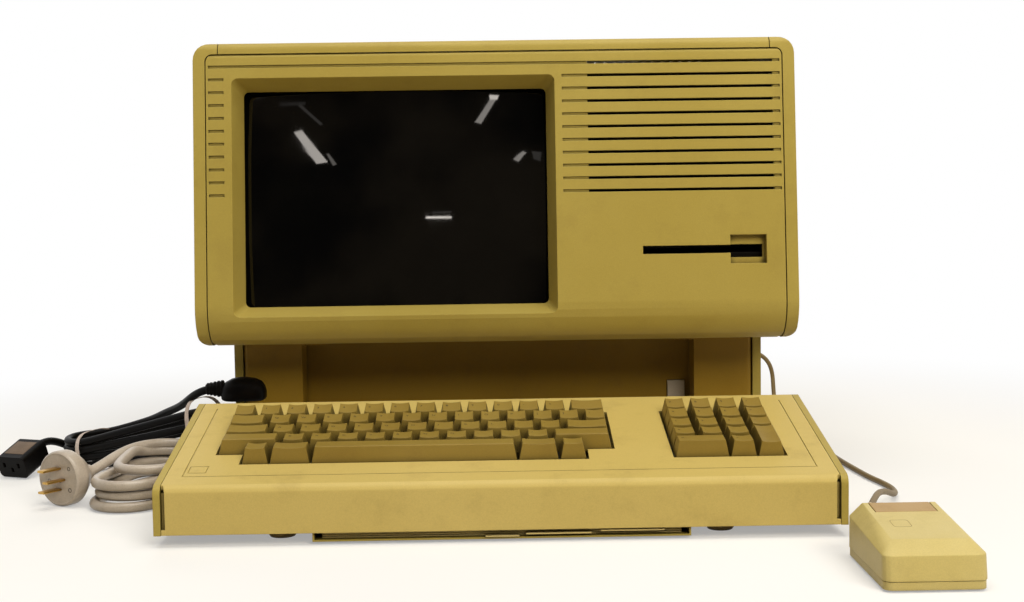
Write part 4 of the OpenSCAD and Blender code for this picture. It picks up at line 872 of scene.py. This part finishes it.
# The drive's steel turns black over its front face
drive_skin, tree = blank("drive_skin")
spot = put(tree, "TexCoord").outputs["Object"]
skin = placed(tree, brushed, Tone=zinc_tone, Tarnish=zinc_stain, Age=0.5, Gloss=0.34, Stretch=rolled)
deep = put(tree, "SeparateXYZ", Vector=spot).outputs["Y"]
face = ramp(tree, deep, 0.024, 0.022)
steel = put(tree, "BsdfPrincipled", Base_Color=skin["Colour"], Roughness=skin["Roughness"],
            Metallic=0.9).outputs[0]
grit = put(tree, "TexNoise", Vector=spot, Scale=900.0).outputs["Fac"]
dark = mixed(tree, grit, linear(10, 9, 8), linear(26, 24, 20))
black = put(tree, "BsdfPrincipled", Base_Color=dark, Roughness=0.5, Specular_IOR_Level=0.2).outputs[0]
put(tree, "OutputMaterial", Surface=put(tree, "MixShader", Fac=face, _1=steel, _2=black).outputs[0])
dress(drive_skin, "disk_drive")
dress(black_plastic, "mains_inlet", "speaker", "rear_knob_left", "rear_knob_right")

# Turned rubber feet: dark ones under the unit, tan ones under the keyboard
foot_rubber = vinyl("foot_rubber", linear(40, 32, 22), linear(84, 70, 50), 0.5, 0.6, 700.0, 0.0002)
tan_rubber = vinyl("tan_rubber", linear(158, 136, 88), linear(120, 100, 62), 0.5, 0.55, 700.0, 0.0002)
dress(foot_rubber, "base_feet")
dress(tan_rubber, "keyboard_feet")

# ---- Buttons ----
# A pale square button in a frame on the pedestal switches the unit on. A small red one at the back
# resets it. Both are moulded plastic and spring back.

pale_button = moulding("pale_button", linear(206, 192, 168), linear(188, 170, 140), 0.5, 12.0, 1500.0, 0.3,
                       0.15)
red_plastic = moulding("red_plastic", linear(150, 46, 34), linear(120, 36, 26), 0.5, 14.0, 1500.0, 0.28, 0.1)
power_button = softened("power_button", 0.0008)
coated(power_button, pale_button)
dress(red_plastic, "reset_button")

# ---- Keyboard ----
# A sloping case in two halves with sculpted keys in their wells, and three reference cards on a
# tray below. All are injection moulded, and the deck is a paler shade than the main unit.

deck_plastic = moulding("deck_plastic", linear(206, 182, 105), linear(198, 174, 95), 0.7)
card_plastic = moulding("card_plastic", linear(214, 194, 130), linear(200, 176, 104), 0.6, grain=900.0)
dress(deck_plastic, "keyboard_case")
dress(case_plastic, "keyboard_base", "card_tray")
dress(card_plastic, "card_upper", "card_middle", "card_lower")

# Strong painted shade darkens the gaps between the keys and their fronts
key_plastic = moulding("key_plastic", linear(149, 125, 56), linear(136, 111, 42), 0.7, 9.0, 1500.0, 0.36,
                       0.25, dust_and_shade=0.85, corner=0.009)
legend_ink = vinyl("legend_ink", linear(52, 40, 22), linear(84, 66, 38), 0.4, 0.5, 900.0, 0.00002)

# Key pitch, the keypad's left edge, the slope of the deck, and a letter's place on its key and its size
KEY = 19.05
PAD_X = 14.5 * KEY + 41.5
SLOPE = 10.5
LETTER_X, LETTER_Y, LETTER = 5.2, 10.6, 3.6
deck_turn = Matrix.Translation(at(-197.5, -338.6, 48.2)) @ Matrix.Rotation(math.radians(SLOPE), 4, "X")
# Each row, from the back one, has its indent, the widths of its keys and their letters
ROWS = (
    (0, [1] * 13 + [1.5], ["", *"1234567890-=", ""]),
    (0, [1.5] + [1] * 13, ["", *"QWERTYUIOP[]", "\\"]),
    (0, [1.75] + [1] * 11 + [1.75], ["", *"ASDFGHJKL;", "'", ""]),
    (0, [2.25] + [1] * 10 + [2.25], ["", *"ZXCVBNM,./", ""]),
    (1, [1, 1.5, 7.5, 1.5, 1], [""] * 5),
)
key_nodes = ["keys_row_%d" % n for n in range(1, 6)] + ["key_space", "key_return", "key_shift_left",
                                                        "key_shift_right", "keypad_keys", "keypad_enter"]
glyphs = {}


def glyph(letter):
    """The flat outline of one letter, its faces and points, one unit high."""
    if letter not in glyphs:
        script = bpy.data.curves.new("letter", "FONT")
        script.body = letter
        script.size = 1.0
        script.resolution_u = 3
        script.align_x = "LEFT"
        holder = bpy.data.objects.new("letter", script)
        scene.collection.objects.link(holder)
        bpy.context.view_layer.update()
        flat_mesh = holder.evaluated_get(bpy.context.evaluated_depsgraph_get()).to_mesh()
        glyphs[letter] = ([v.co.copy() for v in flat_mesh.vertices],
                          [tuple(f.vertices) for f in flat_mesh.polygons])
        bpy.data.objects.remove(holder)
        bpy.data.curves.remove(script)
    return glyphs[letter]


def legends_on(piece, places):
    """Prints letters on the tops of a piece's keys: each lies just over the cap's own surface."""
    bm = bmesh.new()
    bm.from_mesh(piece.data)
    surface_tree = BVHTree.FromBMesh(bm)
    bm.free()
    points, faces = [], []
    down = (deck_turn.to_3x3() @ Vector((0, 0, -1))).normalized()
    for letter, x, y, size in places:
        outline, cells = glyph(letter)
        start = len(points)
        landed = []
        for p in outline:
            above = deck_turn @ (Vector((x + p.x * size, y + p.y * size, 30)) / 1000)
            hit = surface_tree.ray_cast(above, down)[0]
            landed.append(None if hit is None else hit - down * 0.00006)
        if any(p is None for p in landed):
            continue
        points += landed
        faces += [tuple(start + i for i in cell) for cell in cells]
    mesh = bpy.data.meshes.new(piece.name + "_legends")
    mesh.from_pydata(points, [], faces)
    mesh.materials.append(legend_ink)
    marks_piece = bpy.data.objects.new(piece.name + "_legends", mesh)
    scene.collection.objects.link(marks_piece)
    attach(marks_piece, frame_body[piece.name])


frame_body = {}
key_pieces = {}
for name in key_nodes:
    piece = softened(name, 0.0007, 22, 2)
    coated(piece, key_plastic)
    frame_body[piece.name] = nodes[name]["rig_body"]
    key_pieces[name] = piece

for r, (start, widths, letters) in enumerate(ROWS):
    places = []
    x = start
    for w, letter in zip(widths, letters):
        if letter:
            places.append((letter, x * KEY + LETTER_X, (4 - r) * KEY + LETTER_Y, LETTER))
        x += w
    if places:
        legends_on(key_pieces["keys_row_%d" % (r + 1)], places)
pad_letters = [(c, r, "789/456*123-"[(4 - r) * 4 + c]) for r in (4, 3, 2) for c in range(4)]
pad_letters += [(0, 1, "0"), (1, 1, "."), (2, 1, ","), (0, 0, "="), (2, 0, "+")]
legends_on(key_pieces["keypad_keys"], [(t, PAD_X + c * KEY + LETTER_X, r * KEY + LETTER_Y, LETTER)
                                       for c, r, t in pad_letters])

# ---- Mouse ----
# A wedge-shaped shell on a flat base with a rubber coated ball, and one brown button at the lead's
# end. All are injection moulded, and the shell snaps over the base.

mouse_plastic = moulding("mouse_plastic", linear(212, 194, 128), linear(198, 177, 100), 0.6, 11.0, 1300.0,
                         0.36, 0.15)
tan_plastic = moulding("tan_plastic", linear(180, 147, 92), linear(158, 124, 70), 0.6, 14.0, 1300.0,
                       0.34, 0.15)
ball_rubber = vinyl("ball_rubber", linear(70, 70, 72), linear(120, 110, 98), 0.4, 0.5, 500.0, 0.00004)
mouse_shell = softened("mouse_shell", 0.0012, 18, 3)
mouse_button = softened("mouse_button", 0.0006, 24, 2)
mouse_base = softened("mouse_base", 0.0005, 40, 2)
for piece, finish, slot in ((mouse_shell, mouse_plastic, "mouse_plastic"),
                            (mouse_button, tan_plastic, "tan_plastic"),
                            (mouse_base, mouse_plastic, "mouse_plastic")):
    coated(piece, finish)
dress(ball_rubber, "mouse_ball")
dress(case_plastic, "mouse_plug")

# A plain square outline of fine line lies on the shell near the palm
shell_tree = bmesh.new()
shell_tree.from_mesh(mouse_shell.data)
shell_hit = BVHTree.FromBMesh(shell_tree)
shell_tree.free()


def square_mark_build(bm):
    """A rounded square of fine line, laid on the shell from above."""
    steps = 48
    rows = []
    for k in range(steps):
        a = 2 * math.pi * k / steps
        row = []
        for grow in (1.0, 0.93):
            above = at(238.8 + 5.6 * grow * squared(math.cos(a), 0.3),
                       -477.3 + 6.6 * grow * squared(math.sin(a), 0.3), 60)
            landed = shell_hit.ray_cast(above, Vector((0, 0, -1)))[0]
            row.append(bm.verts.new(landed + Vector((0, 0, 0.00005))))
        rows.append(row)
    for row, next_row in zip(rows, rows[1:] + rows[:1]):
        bm.faces.new((row[0], next_row[0], next_row[1], row[1]))


mark_tone = vinyl("mark_tone", linear(160, 136, 74), linear(140, 116, 60), 0.3, 0.5, 900.0)
square_mark = shaped("mouse_square_mark", square_mark_build, [mark_tone], "unit", "mouse_plastic")
